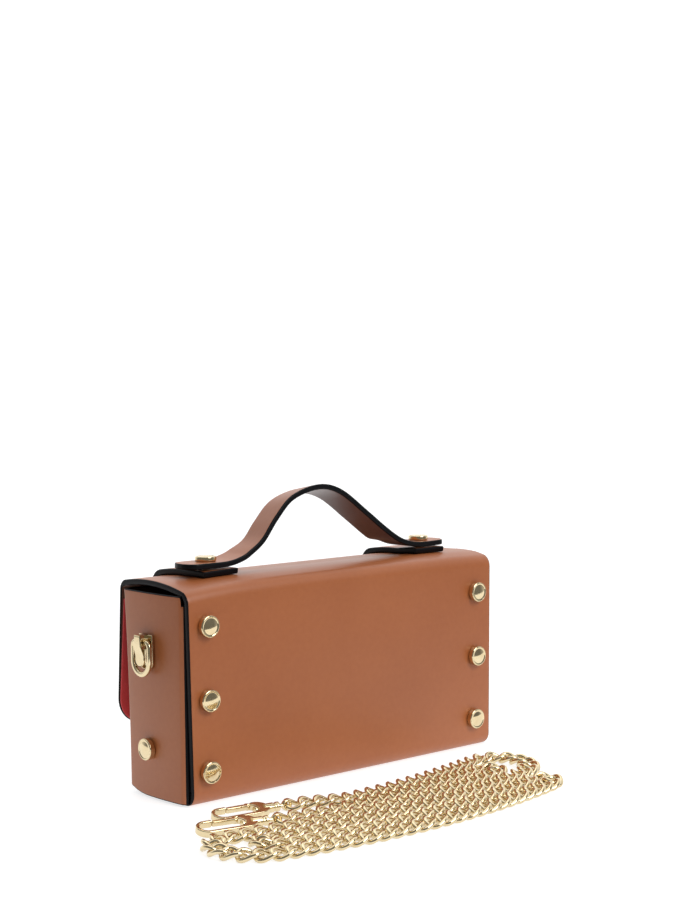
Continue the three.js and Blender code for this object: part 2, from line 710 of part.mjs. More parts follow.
/** Places along the chain, closer together in its turns. */
function chainStations() {
  const runs = CHAIN_ROWS.map(({ row, from, to }) => {
    const hook = [from, to].find((end) => end in HOOKS);
    const end = hook ? chainEnd(hook) : null;
    const [start, stop] = [from, to].map((x) => (x in HOOKS ? end.x : x));
    const points = [];
    for (let i = 0; i <= CHAIN.rowSteps; i += 1) {
      points.push(rowPoint(row, lerp(start, stop, i / CHAIN.rowSteps), end));
    }
    return points;
  });
  const stations = [];
  runs.forEach((points, i) => {
    stations.push(...points);
    if (i + 1 < runs.length) stations.push(...turnPoints(points, runs[i + 1]));
  });
  return stations.map(({ x, y }) => new THREE.Vector3(x, y, CHAIN.height / 2));
}

/** Points of the turn between the end of one run and the start of the next. */
function turnPoints(run, next) {
  const [before, end] = run.slice(-2);
  const [start, after] = next;
  const handleLength = (2 / 3) * end.distanceTo(start);
  const leave = end.clone().addScaledVector(end.clone().sub(before).normalize(), handleLength);
  const arrive = start.clone().addScaledVector(start.clone().sub(after).normalize(), handleLength);
  const curve = new THREE.CubicBezierCurve(end, leave, arrive, start);
  return curve.getPoints(CHAIN.turnSteps).slice(1, -1);
}

/** Curve that steps from station to station. */
class StationCurve extends THREE.Curve {
  constructor(stations) {
    super();
    this.stations = stations;
  }

  getPointAt(share, target = new THREE.Vector3()) {
    const place = share * (this.stations.length - 1);
    const index = Math.min(Math.floor(place), this.stations.length - 2);
    return target.lerpVectors(this.stations[index], this.stations[index + 1], place - index);
  }

  getPoint(share, target) {
    return this.getPointAt(share, target);
  }

  getTangentAt(share, target = new THREE.Vector3()) {
    const place = Math.round(share * (this.stations.length - 1));
    const before = this.stations[Math.max(place - 1, 0)];
    const after = this.stations[Math.min(place + 1, this.stations.length - 1)];
    return target.subVectors(after, before).normalize();
  }
}

function chain() {
  const curve = new StationCurve(chainStations());
  const section = new THREE.Shape();
  section.absellipse(0, 0, CHAIN.height / 2, CHAIN.width / 2, 0, 2 * Math.PI, false);
  const geometry = new THREE.ExtrudeGeometry(section, {
    extrudePath: curve,
    steps: curve.stations.length - 1,
    curveSegments: CHAIN.sides / 2,
    bevelEnabled: false,
  });
  return solid(geometry);
}

// Assembly

const group = new THREE.Group();
group.add(piece("body_wrap", bodyWrap(), leather));
group.add(piece("front_wall", frontWall(), leather));
group.add(piece("flap_lining", flapLining(), lining));
group.add(piece("handle", handle(), leather));
for (const { name, place, direction, grip, height } of rivets) {
  group.add(piece(name, stud(place, direction, grip, height), gold));
}
for (const [end, side] of Object.entries(SIDES)) {
  group.add(piece(`end_tab_${end}`, endTab(side), leather));
  group.add(piece(`handle_strap_${end}`, handleStrap(side), leather));
  group.add(piece(`ring_mount_${end}`, ringMount(side), gold));
  group.add(piece(`ring_${end}`, ring(side), gold));
}
for (const [name, place] of Object.entries(HOOKS)) {
  group.add(piece(`${name}_body`, hookBody(place), gold));
  group.add(piece(`${name}_gate`, hookGate(place), gold));
  group.add(piece(`${name}_eye`, hookEye(place), gold));
}
group.add(piece("chain", chain(), gold));

export default group;
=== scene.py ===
"""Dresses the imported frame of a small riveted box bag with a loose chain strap."""
import logging
import math
from dataclasses import dataclass, field
from enum import Enum
from typing import Callable, Sequence

import bmesh
import bpy
from mathutils import Matrix, Quaternion, Vector


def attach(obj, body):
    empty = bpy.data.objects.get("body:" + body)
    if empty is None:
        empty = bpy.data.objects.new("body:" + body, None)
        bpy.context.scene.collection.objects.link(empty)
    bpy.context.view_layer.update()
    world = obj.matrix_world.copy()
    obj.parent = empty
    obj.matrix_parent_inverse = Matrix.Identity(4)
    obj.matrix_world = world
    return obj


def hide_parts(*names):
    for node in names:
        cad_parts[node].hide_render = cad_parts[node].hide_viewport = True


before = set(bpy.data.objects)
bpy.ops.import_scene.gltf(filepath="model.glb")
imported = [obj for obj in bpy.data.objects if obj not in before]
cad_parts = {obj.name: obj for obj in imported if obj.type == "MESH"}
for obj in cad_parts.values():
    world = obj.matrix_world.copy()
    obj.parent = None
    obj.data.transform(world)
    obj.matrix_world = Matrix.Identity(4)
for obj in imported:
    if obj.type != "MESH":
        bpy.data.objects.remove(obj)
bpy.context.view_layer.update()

log = logging.getLogger("bag")

# Metres in a millimetre, which is the unit of the bag's own sizes
MM = 0.001
# Space between sheets, space under a cap, and distance of the first row from a cut edge
GAP = 0.3
SEAT = 0.2
RIM_ROW = 2.0
# Distance below which two points are one, and smallest divisor
SAME_POINT = 1e-4
TINY = 1e-9
SIDES = {"right": 1, "left": -1}

Colour = tuple[float, float, float, float]
Move = Callable[[Vector], Vector]
Place = Callable[[Vector, float], Vector]


class Slot(str, Enum):
    """Material slots of the record."""

    LEATHER = "leather"
    LINING = "lining"
    GOLD = "gold_metal"


class Skin(int, Enum):
    """Material index of a sheet's faces."""

    FACE = 0
    BACK = 1
    EDGE = 2


# Shared shader effects


def set_inputs(node: bpy.types.Node, values: dict[str, float | Sequence[float]]) -> None:
    """Sets constants on a node.

    Args:
        node: Node that gets them.
        values: Value of each named input.
    """
    for key, value in values.items():
        node.inputs[key].default_value = value


class Effect:
    """Shader node group that several finishes share.

    Attributes:
        tree: The group.
        into: Its input node.
        out: Its output node.
    """

    def __init__(self, name: str, outputs: Sequence[str]) -> None:
        """Starts the group.

        Args:
            name: Name of the group.
            outputs: Names of the float outputs.
        """
        self.tree = bpy.data.node_groups.new(name, "ShaderNodeTree")
        self.tree.interface.new_socket("Place", in_out="INPUT", socket_type="NodeSocketVector")
        for key in outputs:
            self.tree.interface.new_socket(key, in_out="OUTPUT", socket_type="NodeSocketFloat")
        self.into = self.tree.nodes.new("NodeGroupInput")
        self.out = self.tree.nodes.new("NodeGroupOutput")

    def noise(self, scale: float, detail: float) -> bpy.types.NodeSocket:
        """Adds a noise texture.

        Args:
            scale: Cells per metre.
            detail: Octaves.

        Returns:
            The noise's socket.
        """
        node = self.tree.nodes.new("ShaderNodeTexNoise")
        set_inputs(node, {"Scale": scale, "Detail": detail})
        self.tree.links.new(self.into.outputs["Place"], node.inputs["Vector"])
        return node.outputs["Fac"]

    def pores(self, scale: float) -> bpy.types.NodeSocket:
        """Adds a texture of small cells with sunken edges.

        Args:
            scale: Cells per metre.

        Returns:
            Socket with the distance from the edges.
        """
        node = self.tree.nodes.new("ShaderNodeTexVoronoi")
        node.feature = "DISTANCE_TO_EDGE"
        set_inputs(node, {"Scale": scale})
        self.tree.links.new(self.into.outputs["Place"], node.inputs["Vector"])
        return node.outputs["Distance"]

    def blend(self, operation: str, first: bpy.types.NodeSocket,
              second: bpy.types.NodeSocket | float) -> bpy.types.NodeSocket:
        """Adds a math node.

        Args:
            operation: Blender's name of the operation.
            first: First operand.
            second: Second operand, a socket or a number.

        Returns:
            The result's socket.
        """
        node = self.tree.nodes.new("ShaderNodeMath")
        node.operation = operation
        self.tree.links.new(first, node.inputs[0])
        if isinstance(second, bpy.types.NodeSocket):
            self.tree.links.new(second, node.inputs[1])
        else:
            node.inputs[1].default_value = second
        return node.outputs[0]

    def give(self, **sockets: bpy.types.NodeSocket) -> None:
        """Connects the outputs.

        Args:
            sockets: Socket for each output's name.
        """
        for key, socket in sockets.items():
            self.tree.links.new(socket, self.out.inputs[key])


def leather_grain() -> None:
    """Makes the fine pores, soft creases and slow colour drift of smooth leather."""
    fleck_share, tone_shift = 0.35, 0.17
    effect = Effect("leather_grain", ("Height", "Tone", "Gloss"))
    height = effect.blend("ADD", effect.pores(scale=1500.0), effect.noise(scale=95.0, detail=5.0))
    flecks = effect.blend("MULTIPLY", effect.noise(scale=420.0, detail=2.0), fleck_share)
    drift = effect.blend("ADD", effect.noise(scale=11.0, detail=3.0), flecks)
    tone = effect.blend("SUBTRACT", drift, tone_shift)
    effect.give(Height=height, Tone=tone, Gloss=effect.noise(scale=38.0, detail=4.0))


def suede_nap() -> None:
    """Makes the short fibres of suede, brushed in patches."""
    tone_gain = 2.0
    effect = Effect("suede_nap", ("Height", "Tone"))
    fibres = effect.noise(scale=2600.0, detail=3.0)
    patches = effect.blend("MULTIPLY", effect.noise(scale=70.0, detail=3.0), fibres)
    effect.give(Height=fibres, Tone=effect.blend("MULTIPLY", patches, tone_gain))


def handling_wear() -> None:
    """Makes the faint smears and hairlines of handled metal and paint."""
    effect = Effect("handling_wear", ("Height", "Tone"))
    effect.give(Height=effect.noise(scale=1900.0, detail=2.0), Tone=effect.noise(scale=160.0, detail=4.0))


# Finishes


@dataclass(frozen=True)
class Finish:
    """Surface finish made of a principled shader and one shared effect.

    Attributes:
        name: Material name.
        effect: Name of the shared node group.
        light: Colour where the effect's tone is high.
        dark: Colour where it is low.
        tone_span: Tone values that reach dark and light.
        rough_span: Roughness at low and high gloss wear.
        bump: Bump strength.
        bump_depth: Bump distance in metres.
        metallic: Metalness.
        coat: Weight of the clear top coat.
        coat_rough: Roughness of that coat.
        sheen: Weight of the fibre sheen.
        specular: Specular level.
    """

    name: str
    effect: str
    light: Colour
    dark: Colour
    tone_span: tuple[float, float] = (0.3, 0.7)
    rough_span: tuple[float, float] = (0.4, 0.5)
    bump: float = 0.1
    bump_depth: float = 0.0002
    metallic: float = 0.0
    coat: float = 0.0
    coat_rough: float = 0.2
    sheen: float = 0.0
    specular: float = 0.5

    def material(self) -> bpy.types.Material:
        """Makes the material.

        Returns:
            The new material.
        """
        made = bpy.data.materials.new(self.name)
        made.use_nodes = True
        tree = made.node_tree
        shader = tree.nodes["Principled BSDF"]
        set_inputs(shader, {
            "Metallic": self.metallic, "Coat Weight": self.coat, "Coat Roughness": self.coat_rough,
            "Sheen Weight": self.sheen, "Specular IOR Level": self.specular,
        })
        place = tree.nodes.new("ShaderNodeTexCoord")
        effect = tree.nodes.new("ShaderNodeGroup")
        effect.node_tree = bpy.data.node_groups[self.effect]
        tone = tree.nodes.new("ShaderNodeValToRGB")
        for stop, position, colour in zip(tone.color_ramp.elements, self.tone_span, (self.dark, self.light)):
            stop.position = position
            stop.color = colour
        rough = tree.nodes.new("ShaderNodeMapRange")
        set_inputs(rough, {"To Min": self.rough_span[0], "To Max": self.rough_span[1]})
        bump = tree.nodes.new("ShaderNodeBump")
        set_inputs(bump, {"Strength": self.bump, "Distance": self.bump_depth})
        gloss = "Gloss" if "Gloss" in effect.outputs else "Tone"
        for source, output, target, entry in (
            (place, "Object", effect, "Place"),
            (effect, "Tone", tone, "Fac"),
            (tone, "Color", shader, "Base Color"),
            (effect, gloss, rough, "Value"),
            (rough, "Result", shader, "Roughness"),
            (effect, "Height", bump, "Height"),
            (bump, "Normal", shader, "Normal"),
        ):
            tree.links.new(source.outputs[output], target.inputs[entry])
        return made


LEATHER = Finish(
    "tan_leather", "leather_grain", (0.39, 0.118, 0.034, 1), (0.33, 0.092, 0.024, 1), (0.25, 0.75),
    rough_span=(0.36, 0.48), bump=0.12, bump_depth=0.00015, coat=0.12, coat_rough=0.3,
)
SUEDE = Finish(
    "brown_suede_back", "suede_nap", (0.16, 0.075, 0.045, 1), (0.085, 0.036, 0.02, 1), (0.2, 0.8),
    rough_span=(0.85, 0.98), bump=0.35, bump_depth=0.0002, sheen=0.2, specular=0.2,
)
# Black paint of the cut edges; the front wall also uses it on its folds beside the flanges as painted shade
# of the crevice there.
EDGE_PAINT = Finish(
    "black_edge_paint", "handling_wear", (0.003, 0.0034, 0.005, 1), (0.0015, 0.0017, 0.0025, 1),
    rough_span=(0.34, 0.46), bump=0.08, bump_depth=0.0001, specular=0.14,
)
# Darker copy of the tan leather for the handle's underside: painted shade of the side that faces away from
# the light.
HANDLE_SHADED_BACK = Finish(
    "handle_underside_shade", "leather_grain", (0.10, 0.039, 0.028, 1), (0.065, 0.023, 0.017, 1), (0.25, 0.75),
    rough_span=(0.3, 0.42), bump=0.12, bump_depth=0.00015, coat=0.2, coat_rough=0.25,
)
RED_LINING = Finish(
    "red_lining", "suede_nap", (0.72, 0.07, 0.078, 1), (0.56, 0.045, 0.05, 1), (0.2, 0.8),
    rough_span=(0.8, 0.95), bump=0.3, bump_depth=0.00015, sheen=0.25, specular=0.25,
)
GOLD = Finish(
    "pale_gold", "handling_wear", (0.76, 0.64, 0.41, 1), (0.68, 0.55, 0.33, 1),
    rough_span=(0.06, 0.16), bump=0.03, bump_depth=0.00005, metallic=1.0,
)

# Finishes of a sheet's face, back and edge
BAG_SHEET = (LEATHER, SUEDE, EDGE_PAINT)
HANDLE_SHEET = (LEATHER, HANDLE_SHADED_BACK, EDGE_PAINT)
LINING_SHEET = (RED_LINING, RED_LINING, RED_LINING)


class Palette:
    """Materials of the scene, each made once, for the pieces that it publishes.

    Attributes:
        made: Material of each finish, by its name.
    """

    def __init__(self) -> None:
        """Builds the shared effects and every material."""
        for make in (leather_grain, suede_nap, handling_wear):
            make()
        finishes = (LEATHER, HANDLE_SHADED_BACK, SUEDE, EDGE_PAINT, RED_LINING, GOLD)
        self.made = {finish.name: finish.material() for finish in finishes}

    def publish(self, name: str, shape: bmesh.types.BMesh, finishes: Sequence[Finish], node: str,
                body: str = "bag", sharp: float = 40.0) -> None:
        """Turns a mesh in millimetres into a piece of the scene.

        Args:
            name: Name of the piece.
            shape: Mesh, which is used up.
            finishes: Finishes in the order of the faces' material index.
            node: CAD node that the piece stands for.
            body: Body that carries the piece.
            sharp: Angle in degrees above which an edge stays sharp.
        """
        bmesh.ops.scale(shape, vec=(MM, MM, MM), verts=shape.verts[:])
        for face in shape.faces:
            face.smooth = True
        mesh = bpy.data.meshes.new(name)
        shape.to_mesh(mesh)
        shape.free()
        mesh.set_sharp_from_angle(angle=math.radians(sharp))
        for finish in finishes:
            mesh.materials.append(self.made[finish.name])
        piece = bpy.data.objects.new(name, mesh)
        bpy.context.scene.collection.objects.link(piece)
        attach(piece, body)
        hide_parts(node)
        log.info("%s: %d faces on %s", name, len(mesh.polygons), body)

    def publish_gold(self, name: str, shape: bmesh.types.BMesh, node: str, body: str = "bag",
                     sharp: float = 50.0) -> None:
        """Turns a mesh into a gold piece.

        Args:
            name: Name of the piece.
            shape: Mesh, which is used up.
            node: CAD node that the piece stands for.
            body: Body that carries the piece.
            sharp: Angle in degrees above which an edge stays sharp.
        """
        self.publish(name, shape, (GOLD,), node, body, sharp)


# Mesh helpers


def arc(centre: Vector, radius: float, start: float, stop: float, step: float = 7.5) -> list[Vector]:
    """Points on a circular arc.

    Args:
        centre: Centre in the plane.
        radius: Radius in millimetres.
        start: First angle in radians.
        stop: Last angle in radians.
        step: Largest angle between points in degrees.

    Returns:
        The points, with both ends.
    """
    count = max(2, math.ceil(abs(math.degrees(stop - start)) / step))
    angles = [start + (stop - start) * i / count for i in range(count + 1)]
    return [centre + radius * Vector((math.cos(a), math.sin(a))) for a in angles]


def refine(points: Sequence[Vector], spacing: float) -> list[Vector]:
    """Splits long segments of a path and drops doubled points.

    Args:
        points: Path.
        spacing: Longest segment in millimetres.

    Returns:
        The refined path.
    """
    path = [points[0]]
    for point in points[1:]:
        span = (point - path[-1]).length
        if span < SAME_POINT:
            continue
        start = path[-1]
        count = math.ceil(span / spacing)
        path.extend(start.lerp(point, i / count) for i in range(1, count + 1))
    return path


def offset_path(path: Sequence[Vector], depth: Callable[[Vector], float]) -> list[Vector]:
    """Second face of a sheet, to the left of its first.

    Args:
        path: First face.
        depth: Thickness at a point.

    Returns:
        One point for each point of the path.
    """
    made = []
    for i, point in enumerate(path):
        ahead = path[min(i + 1, len(path) - 1)]
        behind = path[max(i - 1, 0)]
        along = (ahead - behind).normalized()
        made.append(point + depth(point) * Vector((-along.y, along.x)))
    return made


def ramp(value: float, low: float, high: float) -> float:
    """Straight ramp from 0 to 1.

    Args:
        value: Input.
        low: Where the ramp starts.
        high: Where it ends.

    Returns:
        The ramp's value.
    """
    return min(max((value - low) / (high - low), 0.0), 1.0)


def smoothstep(value: float, low: float, high: float) -> float:
    """Smooth ramp from 0 to 1.

    Args:
        value: Input.
        low: Where the ramp starts.
        high: Where it ends.

    Returns:
        The ramp's value.
    """
    share = ramp(value, low, high)
    return share * share * (3.0 - 2.0 * share)


def rounded_half(rise: float, half: float, corner: float) -> float:
    """Half width of a sheet near an end with rounded corners.

    Args:
        rise: Distance from the end.
        half: Full half width.
        corner: Corner radius.

    Returns:
        Half width at that distance.
    """
    if rise >= corner:
        return half
    return half - corner + math.sqrt(max(corner ** 2 - (corner - rise) ** 2, 0))


def corner_rises(corner: float, steps: int) -> list[float]:
    """Distances from a sheet's end at which rows follow its rounded corners.

    Args:
        corner: Corner radius.
        steps: Segments in the corner.

    Returns:
        Distances from the start of the corner to the end.
    """
    return [corner * (1 - math.sin(math.radians(90.0 * k / steps))) for k in range(steps + 1)]


def along(axis: int) -> Place:
    """Makes a rule that puts the section of a sheet in space.

    Args:
        axis: Index of the axis that the section is drawn out along.

    Returns:
        Function that turns a section point and a reach along the axis into a point.
    """
    return lambda point, reach: Vector((*point[:axis], reach, *point[axis:]))


ALONG_X, ALONG_Y, ALONG_Z = (along(axis) for axis in range(3))


def round_edges(part: bmesh.types.BMesh, edges: Sequence[bmesh.types.BMEdge], radius: float,
                clamp: bool) -> list[bmesh.types.BMFace]:
    """Rounds edges of a mesh.

    Args:
        part: The mesh.
        edges: Edges to round.
        radius: Radius in millimetres.
        clamp: Whether rounded edges stop where they would overlap.

    Returns:
        The new faces.
    """
    made = bmesh.ops.bevel(
        part, geom=edges, offset=radius, offset_type="OFFSET", segments=3, profile=0.5, affect="EDGES",
        clamp_overlap=clamp, material=-1,
    )
    return made["faces"]


def join_loops(part: bmesh.types.BMesh, loops: Sequence[Sequence[bmesh.types.BMVert]], closed: bool) -> None:
    """Joins neighbouring loops of vertices with faces.

    Args:
        part: Mesh that holds the loops.
        loops: Loops with as many vertices each.
        closed: Whether the last loop joins the first.
    """
    pairs = list(zip(loops, loops[1:]))
    if closed:
        pairs.append((loops[-1], loops[0]))
    for here, after in pairs:
        for k in range(len(here)):
            up = (k + 1) % len(here)
            part.faces.new((here[k], after[k], after[up], here[up]))


def merge_into(into: bmesh.types.BMesh, part: bmesh.types.BMesh) -> None:
    """Moves one mesh into another.

    Args:
        into: Mesh that grows.
        part: Mesh that is used up.
    """
    mesh = bpy.data.meshes.new("part")
    part.to_mesh(mesh)
    part.free()
    into.from_mesh(mesh)
    bpy.data.meshes.remove(mesh)


@dataclass
class SheetRow:
    """One station of a sheet: a point on each face, and its reach across.

    Attributes:
        face: Point on the outer face, in the section plane.
        back: Point on the inner face.
        low: Lower end across the section plane.
        high: Upper end.
    """

    face: Vector
    back: Vector
    low: float
    high: float


@dataclass
class Sheet:
    """Closed leather sheet with rounded painted edges.

    Attributes:
        rows: Stations along the sheet.
        place: Turns section coordinates and the reach into a point.
        move: Displacement of each point.
        columns: Divisions across the middle.
        rim: Width of the bands next to the edges, in millimetres.
        rim_bands: Width of all bands on one side, in rims.
        edge: Radius of the rounded edges, in millimetres.
    """

    rows: list[SheetRow]
    place: Place
    move: Move = field(default=lambda point: point)
    columns: int = 16
    rim: float = 1.8
    rim_bands: float = 2.5
    edge: float = 0.55

    def shares(self) -> list[float]:
        """Places of the columns, closer at the edges.

        Returns:
            Shares of the width from 0 to 1.
        """
        width = max(row.high - row.low for row in self.rows)
        near = [0.0, self.rim / width, self.rim_bands * self.rim / width]
        inner = [near[-1] + (1 - 2 * near[-1]) * i / self.columns for i in range(1, self.columns)]
        return near + inner + [1 - share for share in reversed(near)]

    def build(self) -> bmesh.types.BMesh:
        """Makes the sheet.

        Returns:
            Mesh in millimetres, with a Skin as the material index of each face.
        """
        part = bmesh.new()
        grids = [self._grid(part, line) for line in zip(*((row.face, row.back) for row in self.rows))]
        for grid, skin in zip(grids, (Skin.FACE, Skin.BACK)):
            for line, after in zip(grid, grid[1:]):
                for j in range(len(line) - 1):
                    quad = (line[j], after[j], after[j + 1], line[j + 1])
                    part.faces.new(quad).material_index = skin.value
        rims = [[grid[end] for grid in grids] for end in (0, -1)]
        rims += [[[line[end] for line in grid] for grid in grids] for end in (0, -1)]
        for first, second in rims:
            for k in range(len(first) - 1):
                quad = (first[k], first[k + 1], second[k + 1], second[k])
                part.faces.new(quad).material_index = Skin.EDGE.value
        bmesh.ops.recalc_face_normals(part, faces=part.faces[:])
        corners = [edge for edge in part.edges if self._is_corner(edge)]
        for face in round_edges(part, corners, self.edge, clamp=False):
            face.material_index = Skin.EDGE.value
        return part

    def _grid(self, part: bmesh.types.BMesh, line: Sequence[Vector]) -> list[list[bmesh.types.BMVert]]:
        """Adds the vertices of one face.

        Args:
            part: Mesh that gets them.
            line: Section points of the rows.

        Returns:
            Vertices by row and column.
        """
        shares = self.shares()
        grid = []
        for row, point in zip(self.rows, line):
            reach = [row.low + (row.high - row.low) * share for share in shares]
            grid.append([part.verts.new(self.move(self.place(point, value))) for value in reach])
        return grid

    @staticmethod
    def _is_corner(edge: bmesh.types.BMEdge) -> bool:
        """Tells whether an edge is where a face turns into the cut edge.

        Args:
            edge: Edge of the sheet.

        Returns:
            True at the rim.
        """
        skins = {face.material_index for face in edge.link_faces}
        return len(skins) == 2 and Skin.EDGE.value in skins


def lathe(into: bmesh.types.BMesh, profile: Sequence[tuple[float, float]], seat: Vector, axis: Vector,
          steps: int) -> None:
    """Adds a turned solid.

    Args:
        into: Mesh that gets it.
        profile: Radius and height pairs from axis to axis.
        seat: Point where the height is zero.
        axis: Direction of the height.
        steps: Divisions around.
    """
    part = bmesh.new()
    ring = [part.verts.new((radius, 0.0, height)) for radius, height in profile]
    edges = [part.edges.new(pair) for pair in zip(ring, ring[1:])]
    bmesh.ops.spin(
        part, geom=ring + edges, cent=(0, 0, 0), axis=(0, 0, 1), angle=2 * math.pi, steps=steps,
        use_merge=True, use_duplicate=False,
    )
    bmesh.ops.remove_doubles(part, verts=part.verts[:], dist=SAME_POINT)
    bmesh.ops.recalc_face_normals(part, faces=part.faces[:])
    turn = Vector((0, 0, 1)).rotation_difference(axis).to_matrix().to_4x4()
    turn.translation = seat
    part.transform(turn)
    merge_into(into, part)


def rounded(profile: Sequence[tuple[float, float, float]], steps: int = 4) -> list[tuple[float, float]]:
    """Rounds the corners of a profile.

    Args:
        profile: Radius, height and corner radius of each point.
        steps: Segments in each corner.

    Returns:
        Radius and height pairs.
    """
    made = []
    for i, (radius, height, corner) in enumerate(profile):
        here = Vector((radius, height))
        if corner <= 0 or i in (0, len(profile) - 1):
            made.append((radius, height))
            continue
        start = here + corner * (Vector(profile[i - 1][:2]) - here).normalized()
        stop = here + corner * (Vector(profile[i + 1][:2]) - here).normalized()
        for k in range(steps + 1):
            share = k / steps
            point = start.lerp(here, share).lerp(here.lerp(stop, share), share)
            made.append((point.x, point.y))
    return made


def plate(into: bmesh.types.BMesh, outline: Sequence[Vector], low: float, high: float, place: Place,
          edge: float) -> None:
    """Adds a flat plate with rounded edges.

    Args:
        into: Mesh that gets it.
        outline: Closed outline in the section plane.
        low: Lower face.
        high: Upper face.
        place: Turns outline coordinates and height into a point.
        edge: Radius of the rounded edges.
    """
    part = bmesh.new()
    rings = [[part.verts.new(place(point, level)) for point in outline] for level in (low, high)]
    caps = [part.faces.new(ring) for ring in rings]
    count = len(outline)
    for k in range(count):
        after = (k + 1) % count
        part.faces.new((rings[0][k], rings[0][after], rings[1][after], rings[1][k]))
    bmesh.ops.recalc_face_normals(part, faces=part.faces[:])
    rims = list({line for cap in caps for line in cap.edges})
    round_edges(part, rims, edge, clamp=True)
    merge_into(into, part)


def band(into: bmesh.types.BMesh, outer: Sequence[Vector], inner: Sequence[Vector], height: float,
         edge: float, place: Place, closed: bool = True) -> None:
    """Adds a rounded bar that runs between two outlines.

    Args:
        into: Mesh that gets it.
        outer: Points of the outer outline.
        inner: Matching points of the inner outline.
        height: Thickness across the plane.
        edge: Corner radius of the bar's section.
        place: Turns outline coordinates and height into a point.
        closed: Whether the bar is a ring.
    """
    steps = 4
    level = height / 2 - edge
    part = bmesh.new()
    loops = []
    for far, near in zip(outer, inner):
        across = (near - far).normalized()
        inset = (near - far).length - edge
        corners = ((edge, level, 90), (edge, -level, 180), (inset, -level, 270), (inset, level, 0))
        section = []
        for middle, lift, start in corners:
            for k in range(steps + 1):
                angle = math.radians(start + 90 * k / steps)
                section.append((middle + edge * math.cos(angle), lift + edge * math.sin(angle)))
        loops.append([part.verts.new(place(far + across * s, z)) for s, z in section])
    join_loops(part, loops, closed)
    if not closed:
        for loop in (loops[0], loops[-1]):
            part.faces.new(loop)
    bmesh.ops.recalc_face_normals(part, faces=part.faces[:])
    merge_into(into, part)


# Lines of the bag


